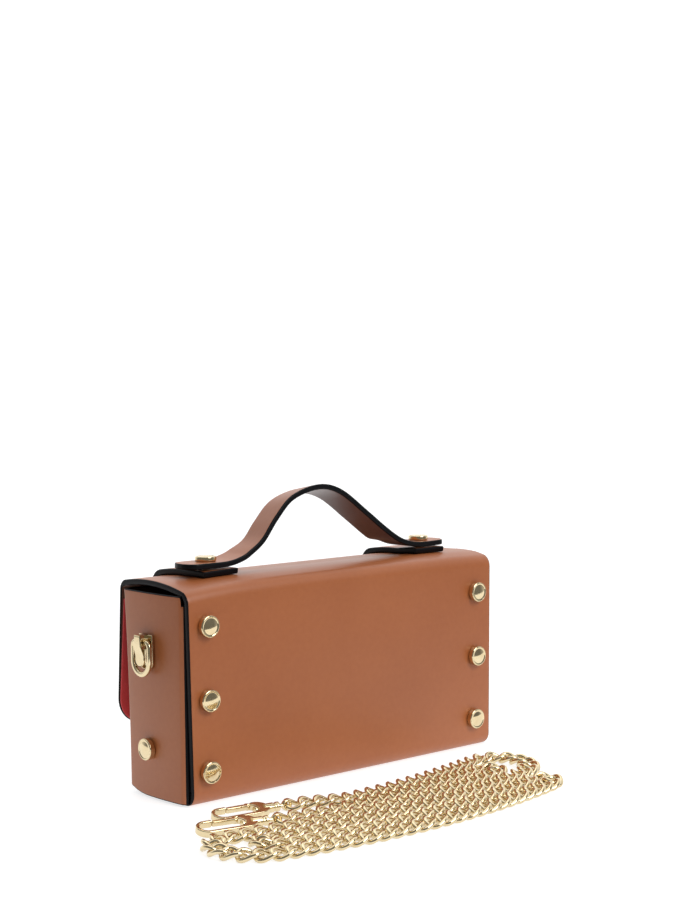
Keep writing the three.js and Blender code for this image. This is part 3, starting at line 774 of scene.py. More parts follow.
@dataclass(frozen=True)
class WrapLines:
    """Section of the sheet that makes the bottom, back, top and flap.

    Attributes:
        half_length: Half length of the sheet, along the bag.
        thickness: Leather thickness.
        back_y: Outer face of the back.
        bottom_bend: Outer radius of the bend from bottom to back.
        top_bend: Outer radius of the bend from back to top.
        crown_radius: Radius of the arched top.
        crown_y: Where the top is highest.
        crown_z: Its height there.
        crown_lift: How much fuller the top is toward the back.
        crown_step: Angle between rows on the top, in degrees.
        lift_fall_right: Share of the fullness that is lost at the right end.
        lift_fall_left: The same at the left end.
        lift_y: Where the fullness starts and is whole, across the bag.
        lift_z: Where it starts and is whole, in height.
        flare: Growth of the width with height, per millimetre.
        flare_z: Height of the plain width.
        tab_half: Half length of the front tab.
        tab_top: Height of its edge.
        tab_bend: Outer radius of its bend.
        tab_y: Its outer face.
        flap_bend: Outer radius of the bend from top to flap.
        flap_lean: Lean of the flap.
        flap_top: Point of the flap's outer face, in y and z.
        flap_bottom: Height of its lower edge.
        flap_corner: Radius of its lower corners.
        flap_thickness: Its thickness.
        thin_z: Heights between which the leather thins.
        spacing: Longest distance between rows.
        corner_steps: Rows in a rounded corner.
    """

    half_length: float = 95.4
    thickness: float = 2.6
    back_y: float = 24.4
    bottom_bend: float = 6.0
    top_bend: float = 6.0
    crown_radius: float = 112.0
    crown_y: float = -7.0
    crown_z: float = 99.6
    crown_lift: float = 2.8
    crown_step: float = 1.5
    lift_fall_right: float = 1.0
    lift_fall_left: float = 0.35
    lift_y: tuple[float, float] = (-4.0, 15.0)
    lift_z: tuple[float, float] = (84.0, 93.0)
    flare: float = 0.0002
    flare_z: float = 41.7
    tab_half: float = 90.0
    tab_top: float = 24.0
    tab_bend: float = 5.0
    tab_y: float = -19.8
    flap_bend: float = 5.0
    flap_lean: float = math.radians(5.04)
    flap_top: tuple[float, float] = (-28.7, 94.0)
    flap_bottom: float = 28.7
    flap_corner: float = 13.0
    flap_thickness: float = 1.1
    thin_z: tuple[float, float] = (93.8, 98.0)
    spacing: float = 7.0
    corner_steps: int = 10

    @property
    def crown(self) -> Vector:
        """Centre of the top's arc.

        Returns:
            Point in y and z.
        """
        return Vector((self.crown_y, self.crown_z - self.crown_radius))

    @property
    def flap_normal(self) -> Vector:
        """Outward direction of the flap.

        Returns:
            Unit vector in y and z.
        """
        return Vector((-math.cos(self.flap_lean), math.sin(self.flap_lean)))

    @property
    def back_bend(self) -> tuple[Vector, float]:
        """Bend from the back to the top.

        Returns:
            Its centre and the angle where it ends.
        """
        y = self.back_y - self.top_bend
        run = self.crown_radius - self.top_bend
        centre = Vector((y, self.crown.y + math.sqrt(run ** 2 - (y - self.crown_y) ** 2)))
        return centre, math.atan2(centre.y - self.crown.y, centre.x - self.crown.x)

    @property
    def front_bend(self) -> tuple[Vector, float]:
        """Bend from the top to the flap.

        Returns:
            Its centre and the angle where it starts.
        """
        reach = (Vector(self.flap_top) - self.crown).dot(self.flap_normal) - self.flap_bend
        run = self.crown_radius - self.flap_bend
        angle = math.pi / 2 + math.asin(reach / run) - self.flap_lean
        return self.crown + run * Vector((math.cos(angle), math.sin(angle))), angle

    def flap_point(self, offset: float, z: float) -> Vector:
        """Point on a line parallel to the flap's outer face.

        Args:
            offset: Distance outward from that face.
            z: Height.

        Returns:
            Point in y and z.
        """
        start = self.front_bend[0] + (self.flap_bend + offset) * self.flap_normal
        down = Vector((-math.sin(self.flap_lean), -math.cos(self.flap_lean)))
        return start + down * ((start.y - z) / math.cos(self.flap_lean))

    def top_run(self, start: float, offset: float, end_z: float, corner: float) -> list[Vector]:
        """Path over the top and down the flap.

        Args:
            start: Angle on the crown where it starts.
            offset: Distance outward from the wrap.
            end_z: Height of its end.
            corner: Height of the rounded corner at its end.

        Returns:
            Points in y and z, close together in the rounded corner.
        """
        centre, angle = self.front_bend
        path = arc(self.crown, self.crown_radius + offset, start, angle, self.crown_step)
        path += arc(centre, self.flap_bend + offset, angle, math.pi - self.flap_lean)
        path = refine(path + [self.flap_point(offset, end_z + corner)], self.spacing)
        rises = corner_rises(corner, self.corner_steps)[1:]
        return path + [self.flap_point(offset, end_z + rise) for rise in rises]

    def flare_at(self, z: float) -> float:
        """Share by which the wrap is wider at a height than where its flap is rounded.

        Args:
            z: Height.

        Returns:
            The share, 1 at the flap's corners.
        """
        return 1 + self.flare * (z - self.flare_z)

    def lift(self, point: Vector) -> Vector:
        """Raises the top, which is fuller at the middle of the back.

        Args:
            point: Point of the sheet.

        Returns:
            The raised point.
        """
        fall = self.lift_fall_right if point.x > 0 else self.lift_fall_left
        fullness = 1 - fall * (point.x / self.half_length) ** 4
        share = fullness * ramp(point.y, *self.lift_y) * ramp(point.z, *self.lift_z)
        return point + Vector((0, 0, self.crown_lift * share))

    def spread(self, point: Vector) -> Vector:
        """Lifts a point of the wrap and widens the sheet toward its top.

        Args:
            point: Point of the plain sheet.

        Returns:
            The moved point.
        """
        moved = self.lift(point)
        moved.x *= self.flare_at(moved.z)
        return moved

    def top_z(self, x: float, y: float) -> float:
        """Outer height of the top.

        Args:
            x: Place along the bag.
            y: Place across it.

        Returns:
            Height in millimetres.
        """
        z = self.crown.y + math.sqrt(self.crown_radius ** 2 - (y - self.crown_y) ** 2)
        return self.lift(Vector((x, y, z))).z


WRAP = WrapLines()


# Leather pieces


@dataclass
class BodyWrap:
    """Sheet that makes the bottom, back, top and flap, with a turned-up front tab.

    Attributes:
        tab_slack: Height above the front tab that still counts as the tab.
        flap_slack: Depth behind the flap's top that still counts as the flap.
    """

    tab_slack: float = 1.0
    flap_slack: float = 2.0

    def thickness(self, point: Vector) -> float:
        """Leather thickness, thinner on the flap.

        Args:
            point: Point of the outer face in y and z.

        Returns:
            Thickness in millimetres.
        """
        if point.x > WRAP.crown_y or point.y < WRAP.tab_top + self.tab_slack:
            return WRAP.thickness
        share = smoothstep(point.y, *WRAP.thin_z)
        return WRAP.flap_thickness + (WRAP.thickness - WRAP.flap_thickness) * share

    def half(self, point: Vector) -> float:
        """Half width of the sheet.

        Args:
            point: Point of the outer face in y and z.

        Returns:
            Half width in millimetres.
        """
        if point.x < WRAP.tab_y + WRAP.tab_bend and point.y < WRAP.tab_top + self.tab_slack:
            return WRAP.tab_half
        if point.x < WRAP.flap_top[0] + self.flap_slack:
            return rounded_half(point.y - WRAP.flap_bottom, WRAP.half_length, WRAP.flap_corner)
        return WRAP.half_length

    def build(self, palette: Palette) -> None:
        """Makes the piece.

        Args:
            palette: Materials.
        """
        path = [Vector((WRAP.tab_y, z)) for z in (WRAP.tab_top, WRAP.tab_top - RIM_ROW)]
        front = Vector((WRAP.tab_y + WRAP.tab_bend, WRAP.tab_bend))
        path += arc(front, WRAP.tab_bend, math.pi, 1.5 * math.pi)
        back = Vector((WRAP.back_y - WRAP.bottom_bend, WRAP.bottom_bend))
        path += arc(back, WRAP.bottom_bend, -math.pi / 2, 0)
        centre, angle = WRAP.back_bend
        path += arc(centre, WRAP.top_bend, 0, angle)
        path = refine(path, WRAP.spacing)
        path += WRAP.top_run(angle, 0, WRAP.flap_bottom, WRAP.flap_corner)[1:]
        backs = offset_path(path, self.thickness)
        rows = [SheetRow(p, q, -self.half(p), self.half(p)) for p, q in zip(path, backs)]
        shape = Sheet(rows, ALONG_X, WRAP.spread, columns=26).build()
        palette.publish("leather_body_wrap", shape, BAG_SHEET, "body_wrap")


@dataclass
class EndTab:
    """Tab of the bottom that stands up inside one end.

    Attributes:
        end: Right or left.
        half: Half width.
        top_z: Height of its edge.
        middle_z: Heights of the rows between its foot and its corners.
        corner: Radius of its upper corners.
        corner_steps: Rows in a corner.
    """

    end: str
    half: float = 13.0
    top_z: float = 32.0
    middle_z: tuple[float, float] = (12.0, 20.0)
    corner: float = 4.0
    corner_steps: int = 6

    def build(self, palette: Palette) -> None:
        """Makes the piece.

        Args:
            palette: Materials.
        """
        side = SIDES[self.end]
        outer = side * WRAP.half_length
        inner = side * (WRAP.half_length - WRAP.thickness)
        low = WRAP.thickness + GAP
        levels = [low, low + RIM_ROW, *self.middle_z]
        levels += [self.top_z - rise for rise in corner_rises(self.corner, self.corner_steps)]
        rows = []
        for z in levels:
            half = rounded_half(self.top_z - z, self.half, self.corner)
            rows.append(SheetRow(Vector((outer, z)), Vector((inner, z)), -half, half))
        shape = Sheet(rows, ALONG_Y, columns=6).build()
        node = f"end_tab_{self.end}"
        palette.publish(f"leather_{node}", shape, BAG_SHEET, node)


@dataclass
class FlapLining:
    """Red lining glued to the inside of the flap.

    Attributes:
        thickness: Thickness of the lining.
        inset: How much shorter it is than the flap, at each end.
        top_z: Height of its upper edge.
        bottom_z: Height of its lower edge.
        corner: Radius of its lower corners.
        row_pitch: Distance between the rows above the corners.
        middle_rows: Number of those rows.
    """

    thickness: float = 0.8
    inset: float = 0.4
    top_z: float = 89.0
    bottom_z: float = 29.2
    corner: float = 12.6
    row_pitch: float = 8.0
    middle_rows: int = 5

    def build(self, palette: Palette) -> None:
        """Makes the piece.

        Args:
            palette: Materials.
        """
        offset = -WRAP.flap_thickness - SEAT
        levels = [self.top_z, self.top_z - RIM_ROW]
        levels += [self.bottom_z + self.corner + self.row_pitch * k for k in range(self.middle_rows, 0, -1)]
        levels += [self.bottom_z + rise for rise in corner_rises(self.corner, WRAP.corner_steps)]
        rows = []
        for z in levels:
            half = rounded_half(z - self.bottom_z, WRAP.half_length - self.inset, self.corner)
            face = WRAP.flap_point(offset - self.thickness, z)
            rows.append(SheetRow(face, WRAP.flap_point(offset, z), -half, half))
        shape = Sheet(rows, ALONG_X, columns=20, edge=0.25).build()
        palette.publish("flap_red_lining", shape, LINING_SHEET, "flap_lining")


@dataclass
class FrontWall:
    """Sheet that makes the front and both ends, with flanges under the back.

    Attributes:
        thickness: Leather thickness.
        face_x: Outer face of the crowned ends, at their middle.
        crown: Radius of the crowned ends.
        crown_step: Angle between rows on the ends, in degrees.
        front_y: Outer face of the front, at its foot.
        fold: Radius of the upright folds.
        flange_x: Where the flanges end under the back.
        flange_z: Lower and upper edge of the flanges.
        flange_band: Depth in which an edge drops from the end to the flange.
        crevice_shade_y: Depth of the fold beside the flange that gets the black edge paint as painted shade
            of the crevice at the back's edge.
        reach_z: Lower and upper edge of the sheet.
        toe_run: Length of the curved lower edge at a front corner.
        toe_rise: Its rise.
        lean: How far the front stands out at the top.
        spacing: Longest distance between rows.
    """

    thickness: float = 2.0
    face_x: float = 98.4
    crown: float = 200.0
    crown_step: float = 1.2
    front_y: float = -22.1
    fold: float = 3.2
    flange_x: float = 77.0
    flange_z: tuple[float, float] = (7.0, 90.3)
    flange_band: float = 1.2
    crevice_shade_y: float = 0.5
    reach_z: tuple[float, float] = (0.9, 94.3)
    toe_run: float = 17.0
    toe_rise: float = 5.5
    lean: float = 3.4
    spacing: float = 8.0

    @property
    def flange_y(self) -> float:
        """Outer face of the flanges.

        Returns:
            Place along y.
        """
        return WRAP.back_y - WRAP.thickness - GAP

    def lean_at(self, z: float) -> float:
        """How far the front stands out at a height.

        Args:
            z: Height.

        Returns:
            Distance along -y.
        """
        return self.lean * (z / self.reach_z[1]) ** 2

    def toe(self, point: Vector) -> float:
        """How far the lower edge curves up near a front corner.

        Args:
            point: Point of the outer face in x and y.

        Returns:
            Rise of the lower edge.
        """
        run = self.face_x - abs(point.x) + point.y - self.front_y
        short = 1 - ramp(run, 0, self.toe_run)
        return self.toe_rise * (1 - math.sqrt(1 - short ** 2))

    def move(self, point: Vector) -> Vector:
        """Leans the front outward toward the top.

        Args:
            point: Point of the upright sheet.

        Returns:
            The leaning point.
        """
        depth = self.flange_y - self.front_y - 2 * self.fold
        share = ramp(self.flange_y - self.fold - point.y, 0, depth)
        return point - Vector((0, self.lean_at(point.z) * share, 0))

    def outline(self) -> list[Vector]:
        """Outer face from the left flange round the front to the right one.

        Returns:
            Points in x and y.
        """
        middle = (self.flange_y + self.front_y) / 2
        turn = math.asin((self.flange_y - self.fold - middle) / (self.crown - self.fold))
        fold_x = self.face_x - self.crown + (self.crown - self.fold) * math.cos(turn)
        front, back = [Vector((fold_x, y)) for y in (self.front_y + self.fold, self.flange_y - self.fold)]
        right = arc(front, self.fold, -math.pi / 2, -turn)
        right += arc(Vector((self.face_x - self.crown, middle)), self.crown, -turn, turn, self.crown_step)
        right += arc(back, self.fold, turn, math.pi / 2)
        right += [Vector((x, self.flange_y)) for x in (self.flange_x + RIM_ROW, self.flange_x)]
        left = [Vector((-p.x, p.y)) for p in reversed(right)]
        return refine(left + right, self.spacing)

    def reach(self, point: Vector) -> tuple[float, float]:
        """Lower and upper edge of the sheet.

        Args:
            point: Point of the outer face in x and y.

        Returns:
            Two heights.
        """
        low, high = self.reach_z
        if point.y > self.flange_y - self.flange_band:
            levels = (self.flange_z[0], WRAP.crown_z)
            bottom, top = [WRAP.half_length * WRAP.flare_at(z) + GAP for z in levels]
            low = self.flange_z[0] if abs(point.x) < bottom else low
            high = self.flange_z[1] if abs(point.x) < top else high
        return low + self.toe(point), high

    def build(self, palette: Palette) -> None:
        """Makes the piece.

        Args:
            palette: Materials.
        """
        path = self.outline()
        backs = offset_path(path, lambda _: self.thickness)
        rows = [SheetRow(p, q, *self.reach(p)) for p, q in zip(path, backs)]
        shape = Sheet(rows, ALONG_Z, self.move, columns=14).build()
        # Faces of the fold next to the flange get the black edge paint: painted shade of the dark crevice
        # between the fold and the back's edge.
        for face in shape.faces:
            if face.calc_center_median().y > self.flange_y - self.crevice_shade_y:
                face.material_index = Skin.EDGE.value
        palette.publish("leather_front_and_ends", shape, BAG_SHEET, "front_wall")


@dataclass
class Handle:
    """Arched leather handle with rounded tips.

    Attributes:
        thickness: Leather thickness.
        width: Width of the band.
        y: Its middle line.
        tip_right: Where the right tip starts to narrow.
        tip_left: Where the left tip does.
        tip_reach: Length of a tip.
        tip_angles: Angles of the rows around a tip, in degrees.
        base_z: Height of the level ends.
        roll: How far the front edge sags.
        roll_rise_right: Rise of the arch that brings the full sag, on the right.
        roll_rise_left: The same on the left.
        arch: Place along the bag and height of points on the upper face.
        arch_steps: Divisions between two of those points.
    """

    thickness: float = 2.6
    width: float = 16.5
    y: float = 1.75
    tip_right: float = 79.0
    tip_left: float = -74.5
    tip_reach: float = 5.0
    tip_angles: tuple[float, ...] = (80, 68, 56, 44, 32, 20, 9)
    base_z: float = 106.5
    roll: float = 3.0
    roll_rise_right: float = 14.0
    roll_rise_left: float = 6.0
    arch: tuple[tuple[float, float], ...] = (
        (87, 106.5), (74, 106.5), (62, 106.6), (54, 108.3), (49, 110.8), (42, 115.8), (34, 125.6),
        (23.5, 135), (6.7, 139.4), (-8, 136.2), (-25.4, 124.4), (-35.7, 117), (-45, 111), (-52, 108),
        (-60, 106.6), (-70, 106.5), (-82, 106.8),
    )
    arch_steps: int = 12

    def spline(self) -> list[Vector]:
        """Smooth curve through the arch table.

        Returns:
            Points of the upper face in x and z, from right to left.
        """
        table = [Vector(pair) for pair in self.arch]
        points = []
        for i in range(len(table) - 1):
            a, b = table[max(i - 1, 0)], table[i]
            c, d = table[i + 1], table[min(i + 2, len(table) - 1)]
            for k in range(self.arch_steps):
                t = k / self.arch_steps
                square = (2 * a - 5 * b + 4 * c - d) * t ** 2
                cube = (3 * b - a - 3 * c + d) * t ** 3
                points.append(0.5 * (2 * b + (c - a) * t + square + cube))
        return points + [table[-1]]

    def height(self, spline: Sequence[Vector], x: float) -> float:
        """Height of the upper face.

        Args:
            spline: Points of that face from right to left.
            x: Place along the bag.

        Returns:
            Height in millimetres.
        """
        for start, stop in zip(spline, spline[1:]):
            if start.x >= x >= stop.x:
                return start.y + (stop.y - start.y) * (start.x - x) / max(start.x - stop.x, TINY)
        return self.base_z

    def move(self, point: Vector) -> Vector:
        """Lowers the front edge where the arch is high.

        Args:
            point: Point of the level band.

        Returns:
            The lowered point.
        """
        share = (self.y + self.width / 2 - point.y) / self.width
        full = self.roll_rise_right if point.x > 0 else self.roll_rise_left
        rise = smoothstep(point.z - self.base_z, 0, full)
        return point - Vector((0, 0, self.roll * share * rise))

    def half(self, x: float) -> float:
        """Half width of the band.

        Args:
            x: Place along the bag.

        Returns:
            Half width in millimetres.
        """
        past = max(x - self.tip_right, self.tip_left - x, 0) / self.tip_reach
        return self.width / 2 * math.sqrt(max(1 - past ** 2, 0))

    def build(self, palette: Palette) -> None:
        """Makes the piece.

        Args:
            palette: Materials.
        """
        spline = self.spline()
        swings = [math.sin(math.radians(angle)) for angle in self.tip_angles]
        stations = [self.tip_right + self.tip_reach * swing for swing in swings]
        stations += [p.x for p in spline[::2] if self.tip_left < p.x < self.tip_right]
        stations += [self.tip_left - self.tip_reach * swing for swing in reversed(swings)]
        path = [Vector((x, self.height(spline, x))) for x in stations]
        backs = offset_path(path, lambda _: self.thickness)
        halves = [self.half(p.x) for p in path]
        rows = [SheetRow(p, q, self.y - h, self.y + h) for p, q, h in zip(path, backs, halves)]
        shape = Sheet(rows, ALONG_Y, self.move, columns=8, rim=1.2, edge=0.6).build()
        palette.publish("leather_handle", shape, HANDLE_SHEET, "handle")


@dataclass
class HandleStrap:
    """Cross strap under a handle tip, bent over the front edge onto the flap.

    Attributes:
        end: Right or left.
        x: Distance from the middle of the bag.
        width: Width of the strap.
        thickness: Leather thickness.
        back_y: Where it ends on the top.
        end_z: Height of its lower end.
        flat_end: Half width of the flat part of its rounded end.
    """

    end: str
    x: float = 66.8
    width: float = 19.5
    thickness: float = 2.8
    back_y: float = 10.0
    end_z: float = 50.0
    flat_end: float = 1.0

    def build(self, palette: Palette) -> None:
        """Makes the piece.

        Args:
            palette: Materials.
        """
        middle = SIDES[self.end] * self.x
        corner = self.width / 2 - self.flat_end
        start = math.acos((self.back_y - WRAP.crown_y) / (WRAP.crown_radius + GAP))
        reaches = (GAP + self.thickness, GAP)
        outer, inner = [WRAP.top_run(start, reach, self.end_z, corner) for reach in reaches]
        rows = []
        for p, q in zip(outer, inner):
            on_flap = p.x < WRAP.flap_top[0]
            half = rounded_half(p.y - self.end_z, self.width / 2, corner) if on_flap else self.width / 2
            rows.append(SheetRow(p, q, middle - half, middle + half))
        shape = Sheet(rows, ALONG_X, WRAP.lift, columns=8, rim=1.2, edge=0.6).build()
        node = f"handle_strap_{self.end}"
        palette.publish(f"leather_{node}", shape, BAG_SHEET, node)


# Metal pieces


@dataclass
class Rivet:
    """Rivet with a polished cap, a post and a plain inner cap.

    Attributes:
        node: CAD node that it stands for.
        seat: Where the cap rests.
        axis: Direction that the cap faces.
        grip: Thickness of what it holds.
        height: Height of the cap.
        radius: Radius of the cap.
        foot: Inset and height of the cap's foot.
        chamfer: Bevel between the cap's wall and its face.
        rim: Width of the raised rim on the face.
        groove: Depth of the groove inside the rim.
        dome: Rise of the face above the groove.
        dome_steps: Divisions of the face.
        post: Radius of the post.
        inner: Radius of the inner cap.
        inner_height: Its height.
        inner_edge: Radius of its edge.
        fine: Radius of the finest edges.
        soft: Radius of the cap's foot and face edges.
        broad: Radius of the cap's wall edge.
        steps: Divisions around.
    """

    node: str
    seat: Vector
    axis: Vector
    grip: float
    height: float = 3.0
    radius: float = 5.0
    foot: tuple[float, float] = (0.25, 0.45)
    chamfer: float = 0.3
    rim: float = 0.75
    groove: float = 0.25
    dome: float = 0.55
    dome_steps: int = 8
    post: float = 1.5
    inner: float = 3.4
    inner_height: float = 0.9
    inner_edge: float = 0.35
    fine: float = 0.1
    soft: float = 0.2
    broad: float = 0.25
    steps: int = 40

    def build(self, palette: Palette) -> None:
        """Makes the piece.

        Args:
            palette: Materials.
        """
        under = -self.grip - 2 * SEAT
        profile = rounded([
            (0, under - self.inner_height, 0),
            (self.inner, under - self.inner_height, self.inner_edge),
            (self.inner, under, self.fine),
            (self.post, under, 0),
            (self.post, 0, 0),
            (self.radius - self.foot[0], 0, self.fine),
            (self.radius, self.foot[1], self.soft),
            (self.radius, self.height - self.chamfer, self.broad),
            (self.radius - self.chamfer, self.height, self.soft),
            (self.radius - self.rim, self.height, 0),
        ])
        face = self.radius - self.rim - self.groove
        low = self.height - self.groove
        shares = [1 - step / self.dome_steps for step in range(self.dome_steps + 1)]
        profile += [(face * share, low + self.dome * (1 - share ** 2)) for share in shares]
        shape = bmesh.new()
        lathe(shape, profile, self.seat + SEAT * self.axis, self.axis, self.steps)
        palette.publish_gold(f"gold_{self.node}", shape, self.node, sharp=60.0)


@dataclass(frozen=True)
class RivetPlan:
    """Places of every rivet.

    Attributes:
        rows: Names of the rows on the back.
        back_right: Place along the bag and height of each row's stud on the right.
        back_left: The same on the left.
        front: Distance from the middle and height of the studs on the front.
        end: Place across the bag and height of the studs on the ends.
        handle_right: Place along the bag of the rivet in the right handle tip.
        handle_left: The same in the left tip.
        handle_y: Place across the bag of both.
        handle_slack: Free play under the handle's rivets.
        handle_cap: Height of their caps.
        strap_z: Height of the studs on the cross straps.
    """

    rows: tuple[str, ...] = ("top", "middle", "bottom")
    back_right: tuple[tuple[float, float], ...] = ((86.0, 80.6), (86.0, 47.3), (86.0, 15.1))
    back_left: tuple[tuple[float, float], ...] = ((-85.1, 80.1), (-84.5, 47.3), (-83.1, 15.1))
    front: tuple[float, float] = (80.0, 15.1)
    end: tuple[float, float] = (-3.5, 23.0)
    handle_right: float = 69.0
    handle_left: float = -67.0
    handle_y: float = 1.5
    handle_slack: float = 0.4
    handle_cap: float = 2.2
    strap_z: float = 62.0

    def side(self, end: str, wall: FrontWall, handle: Handle, strap: HandleStrap,
             lining: FlapLining) -> list[Rivet]:
        """Places the rivets of one half of the bag.

        Args:
            end: Right or left.
            wall: Front and ends.
            handle: Handle.
            strap: Cross strap of this half.
            lining: Flap lining.

        Returns:
            The rivets.
        """
        side = SIDES[end]
        studs, handle_x = self.back_right, self.handle_right
        if side < 0:
            studs, handle_x = self.back_left, self.handle_left
        sheets = WRAP.thickness + GAP + wall.thickness
        made = []
        for row, (x, z) in zip(self.rows, studs):
            seat = Vector((x, WRAP.back_y, z))
            made.append(Rivet(f"stud_back_{end}_{row}", seat, Vector((0, 1, 0)), sheets))
        x, z = self.front
        seat = Vector((side * x, wall.front_y - wall.lean_at(z), z))
        made.append(Rivet(f"stud_front_{end}", seat, Vector((0, -1, 0)), sheets + GAP))
        seat = Vector((side * wall.face_x, *self.end))
        grip = wall.face_x - WRAP.half_length + WRAP.thickness
        made.append(Rivet(f"stud_end_{end}", seat, Vector((side, 0, 0)), grip))
        seat = Vector((handle_x, self.handle_y, handle.base_z))
        grip = handle.base_z - WRAP.top_z(seat.x, seat.y) + WRAP.thickness + self.handle_slack
        made.append(Rivet(f"handle_rivet_{end}", seat, Vector((0, 0, 1)), grip, self.handle_cap))
        seat = ALONG_X(WRAP.flap_point(GAP + strap.thickness, self.strap_z), side * strap.x)
        grip = strap.thickness + WRAP.flap_thickness + lining.thickness + 2 * GAP
        made.append(Rivet(f"strap_stud_{end}", seat, ALONG_X(WRAP.flap_normal, 0), grip))
        return made


@dataclass
class RingFitting:
    """Tongue plate on one end and the U-shaped ring that hangs in it.

    Attributes:
        end: Right or left.
        face_x: Outer face of the end panel.
        y: Middle line of the fitting.
        plate_half: Half width of the plate.
        plate_z: Lower and upper edge of the plate.
        plate_thickness: Its thickness.
        plate_corner: Radius of its lower corners.
        plate_edge: Radius of its edges.
        tongue_x: Back and face of the tongue, from the end panel.
        tongue_sag: How far the tongue bends in.
        tongue_bend: Heights where the bend starts and ends.
        tongue_top: Half width of the tongue at its top.
        tongue_edge: Radius of the edges of the tongue and its bars.
        tongue_steps: Rows above the lobe.
        lobe: Radius of the rounded lobe.
        lobe_z: Height of its middle.
        lobe_turns: Angles of the rows around the lobe, in degrees.
        bars: Lower edge, upper edge and reach of the bars that carry the tongue.
        bar_inset: How much narrower a bar is than the tongue, on each side.
        post_z: Height of the post through the end panel.
        post: Radius and height pairs of the post and its inner cap.
        post_steps: Divisions around the post.
        ring_x: Middle of the ring, from the end panel.
        ring_top: Height of its bar.
        ring_half: Half width of its middle line.
        ring_bottom: Height of its lowest point.
        ring_corner: Radius of its upper corners.
        ring_edge: Radius of its edges.
        wire: Width of its bar.
        depth: Thickness of its bar.
    """

    end: str
    face_x: float
    y: float = -3.5
    plate_half: float = 5.0
    plate_z: tuple[float, float] = (59.5, 75.4)
    plate_thickness: float = 1.4
    plate_corner: float = 3.0
    plate_edge: float = 0.4
    tongue_x: tuple[float, float] = (5.2, 6.2)
    tongue_sag: float = 1.3
    tongue_bend: tuple[float, float] = (70.4, 65.0)
    tongue_top: float = 2.2
    tongue_edge: float = 0.35
    tongue_steps: int = 12
    lobe: float = 3.4
    lobe_z: float = 64.3
    lobe_turns: range = range(0, 88, 8)
    bars: tuple[tuple[float, float, float], ...] = ((73.9, 75.4, 5.8), (68.9, 70.4, 5.4))
    bar_inset: float = 0.3
    post_z: float = 65.4
    post: tuple[tuple[float, float], ...] = (
        (0, 0), (1.5, 0), (1.5, 2.8), (3.4, 2.8), (3.4, 3.7), (0, 3.7),
    )
    post_steps: int = 32
    ring_x: float = 3.8
    ring_top: float = 72.1
    ring_half: float = 6.2
    ring_bottom: float = 57.4
    ring_corner: float = 2.2
    ring_edge: float = 0.8
    wire: float = 2.4
    depth: float = 2.0

    def outward(self, point: Vector, reach: float) -> Vector:
        """Puts a point of the fitting in the scene.

        Args:
            point: Point in y and z.
            reach: Distance outward from the end panel.

        Returns:
            Point in space.
        """
        return ALONG_X(point, SIDES[self.end] * (self.face_x + reach))

    def at_ring(self, point: Vector, reach: float) -> Vector:
        """Puts a point of the ring in the scene.

        Args:
            point: Point in y and z.
            reach: Distance outward from the ring's middle.

        Returns:
            Point in space.
        """
        return self.outward(point, self.ring_x + reach)

    def tongue_row(self, z: float, half: float) -> SheetRow:
        """One row of the tongue, which bends in below the ring's bar.

        Args:
            z: Height.
            half: Half width.

        Returns:
            The row.
        """
        sag = self.tongue_sag * (1 - smoothstep(z, self.tongue_bend[1], self.tongue_bend[0]))
        places = [SIDES[self.end] * (self.face_x + reach - sag) for reach in self.tongue_x]
        back, face = [Vector((x, z)) for x in places]
        return SheetRow(face, back, self.y - half, self.y + half)

    def tongue(self) -> bmesh.types.BMesh:
        """Teardrop tongue.

        Returns:
            Its mesh.
        """
        drop = (self.plate_z[1] - self.lobe_z) / self.tongue_steps
        grow = (self.lobe - self.tongue_top) / self.tongue_steps
        steps = range(self.tongue_steps)
        rows = [self.tongue_row(self.plate_z[1] - i * drop, self.tongue_top + i * grow) for i in steps]
        for turn in (math.radians(degrees) for degrees in self.lobe_turns):
            z = self.lobe_z - self.lobe * math.sin(turn)
            rows.append(self.tongue_row(z, self.lobe * math.cos(turn)))
        shape = Sheet(rows, ALONG_Y, columns=4, rim=0.5, edge=self.tongue_edge).build()
        for face in shape.faces:
            face.material_index = Skin.FACE.value
        return shape

    def back_plate(self) -> list[Vector]:
        """Outline of the plate.

        Returns:
            Points in y and z.
        """
        low, high = self.plate_z
        reach = self.plate_half - self.plate_corner
        right, left = [Vector((self.y + dy, low + self.plate_corner)) for dy in (reach, -reach)]
        outline = arc(right, self.plate_corner, -math.pi / 2, 0, step=12)
        outline += [Vector((self.y + dy, high)) for dy in (self.plate_half, -self.plate_half)]
        return outline + arc(left, self.plate_corner, math.pi, 1.5 * math.pi, step=12)

    def ring_outline(self, offset: float) -> list[Vector]:
        """Outline of the ring.

        Args:
            offset: Distance outward from its middle line.

        Returns:
            Points in y and z.
        """
        half = self.ring_half + offset
        corner = self.ring_corner + offset
        low = Vector((self.y, self.ring_bottom + self.ring_half))
        high = self.ring_top + offset - corner
        points = arc(low, half, math.pi, 2 * math.pi, step=9)
        right, left = [Vector((self.y + dy, high)) for dy in (half - corner, corner - half)]
        points += arc(right, corner, 0, math.pi / 2, step=15)
        return points + arc(left, corner, math.pi / 2, math.pi, step=15)

    def build(self, palette: Palette) -> None:
        """Makes both pieces.

        Args:
            palette: Materials.
        """
        shape = bmesh.new()
        plate(shape, self.back_plate(), SEAT, SEAT + self.plate_thickness, self.outward, self.plate_edge)
        merge_into(shape, self.tongue())
        half = self.tongue_top - self.bar_inset
        for low, high, reach in self.bars:
            corners = ((-half, low), (half, low), (half, high), (-half, high))
            bar = [Vector((self.y + dy, z)) for dy, z in corners]
            plate(shape, bar, SEAT, reach, self.outward, self.tongue_edge)
        inward = Vector((-SIDES[self.end], 0, 0))
        lathe(shape, self.post, self.outward(Vector((self.y, self.post_z)), SEAT), inward, self.post_steps)
        node = f"ring_mount_{self.end}"
        palette.publish_gold(f"gold_{node}", shape, node)
        loop = bmesh.new()
        outer, inner = [self.ring_outline(offset) for offset in (self.wire / 2, -self.wire / 2)]
        band(loop, outer, inner, self.depth, self.ring_edge, self.at_ring)
        node = f"ring_{self.end}"
        palette.publish_gold(f"gold_u_{node}", loop, node, body=node)


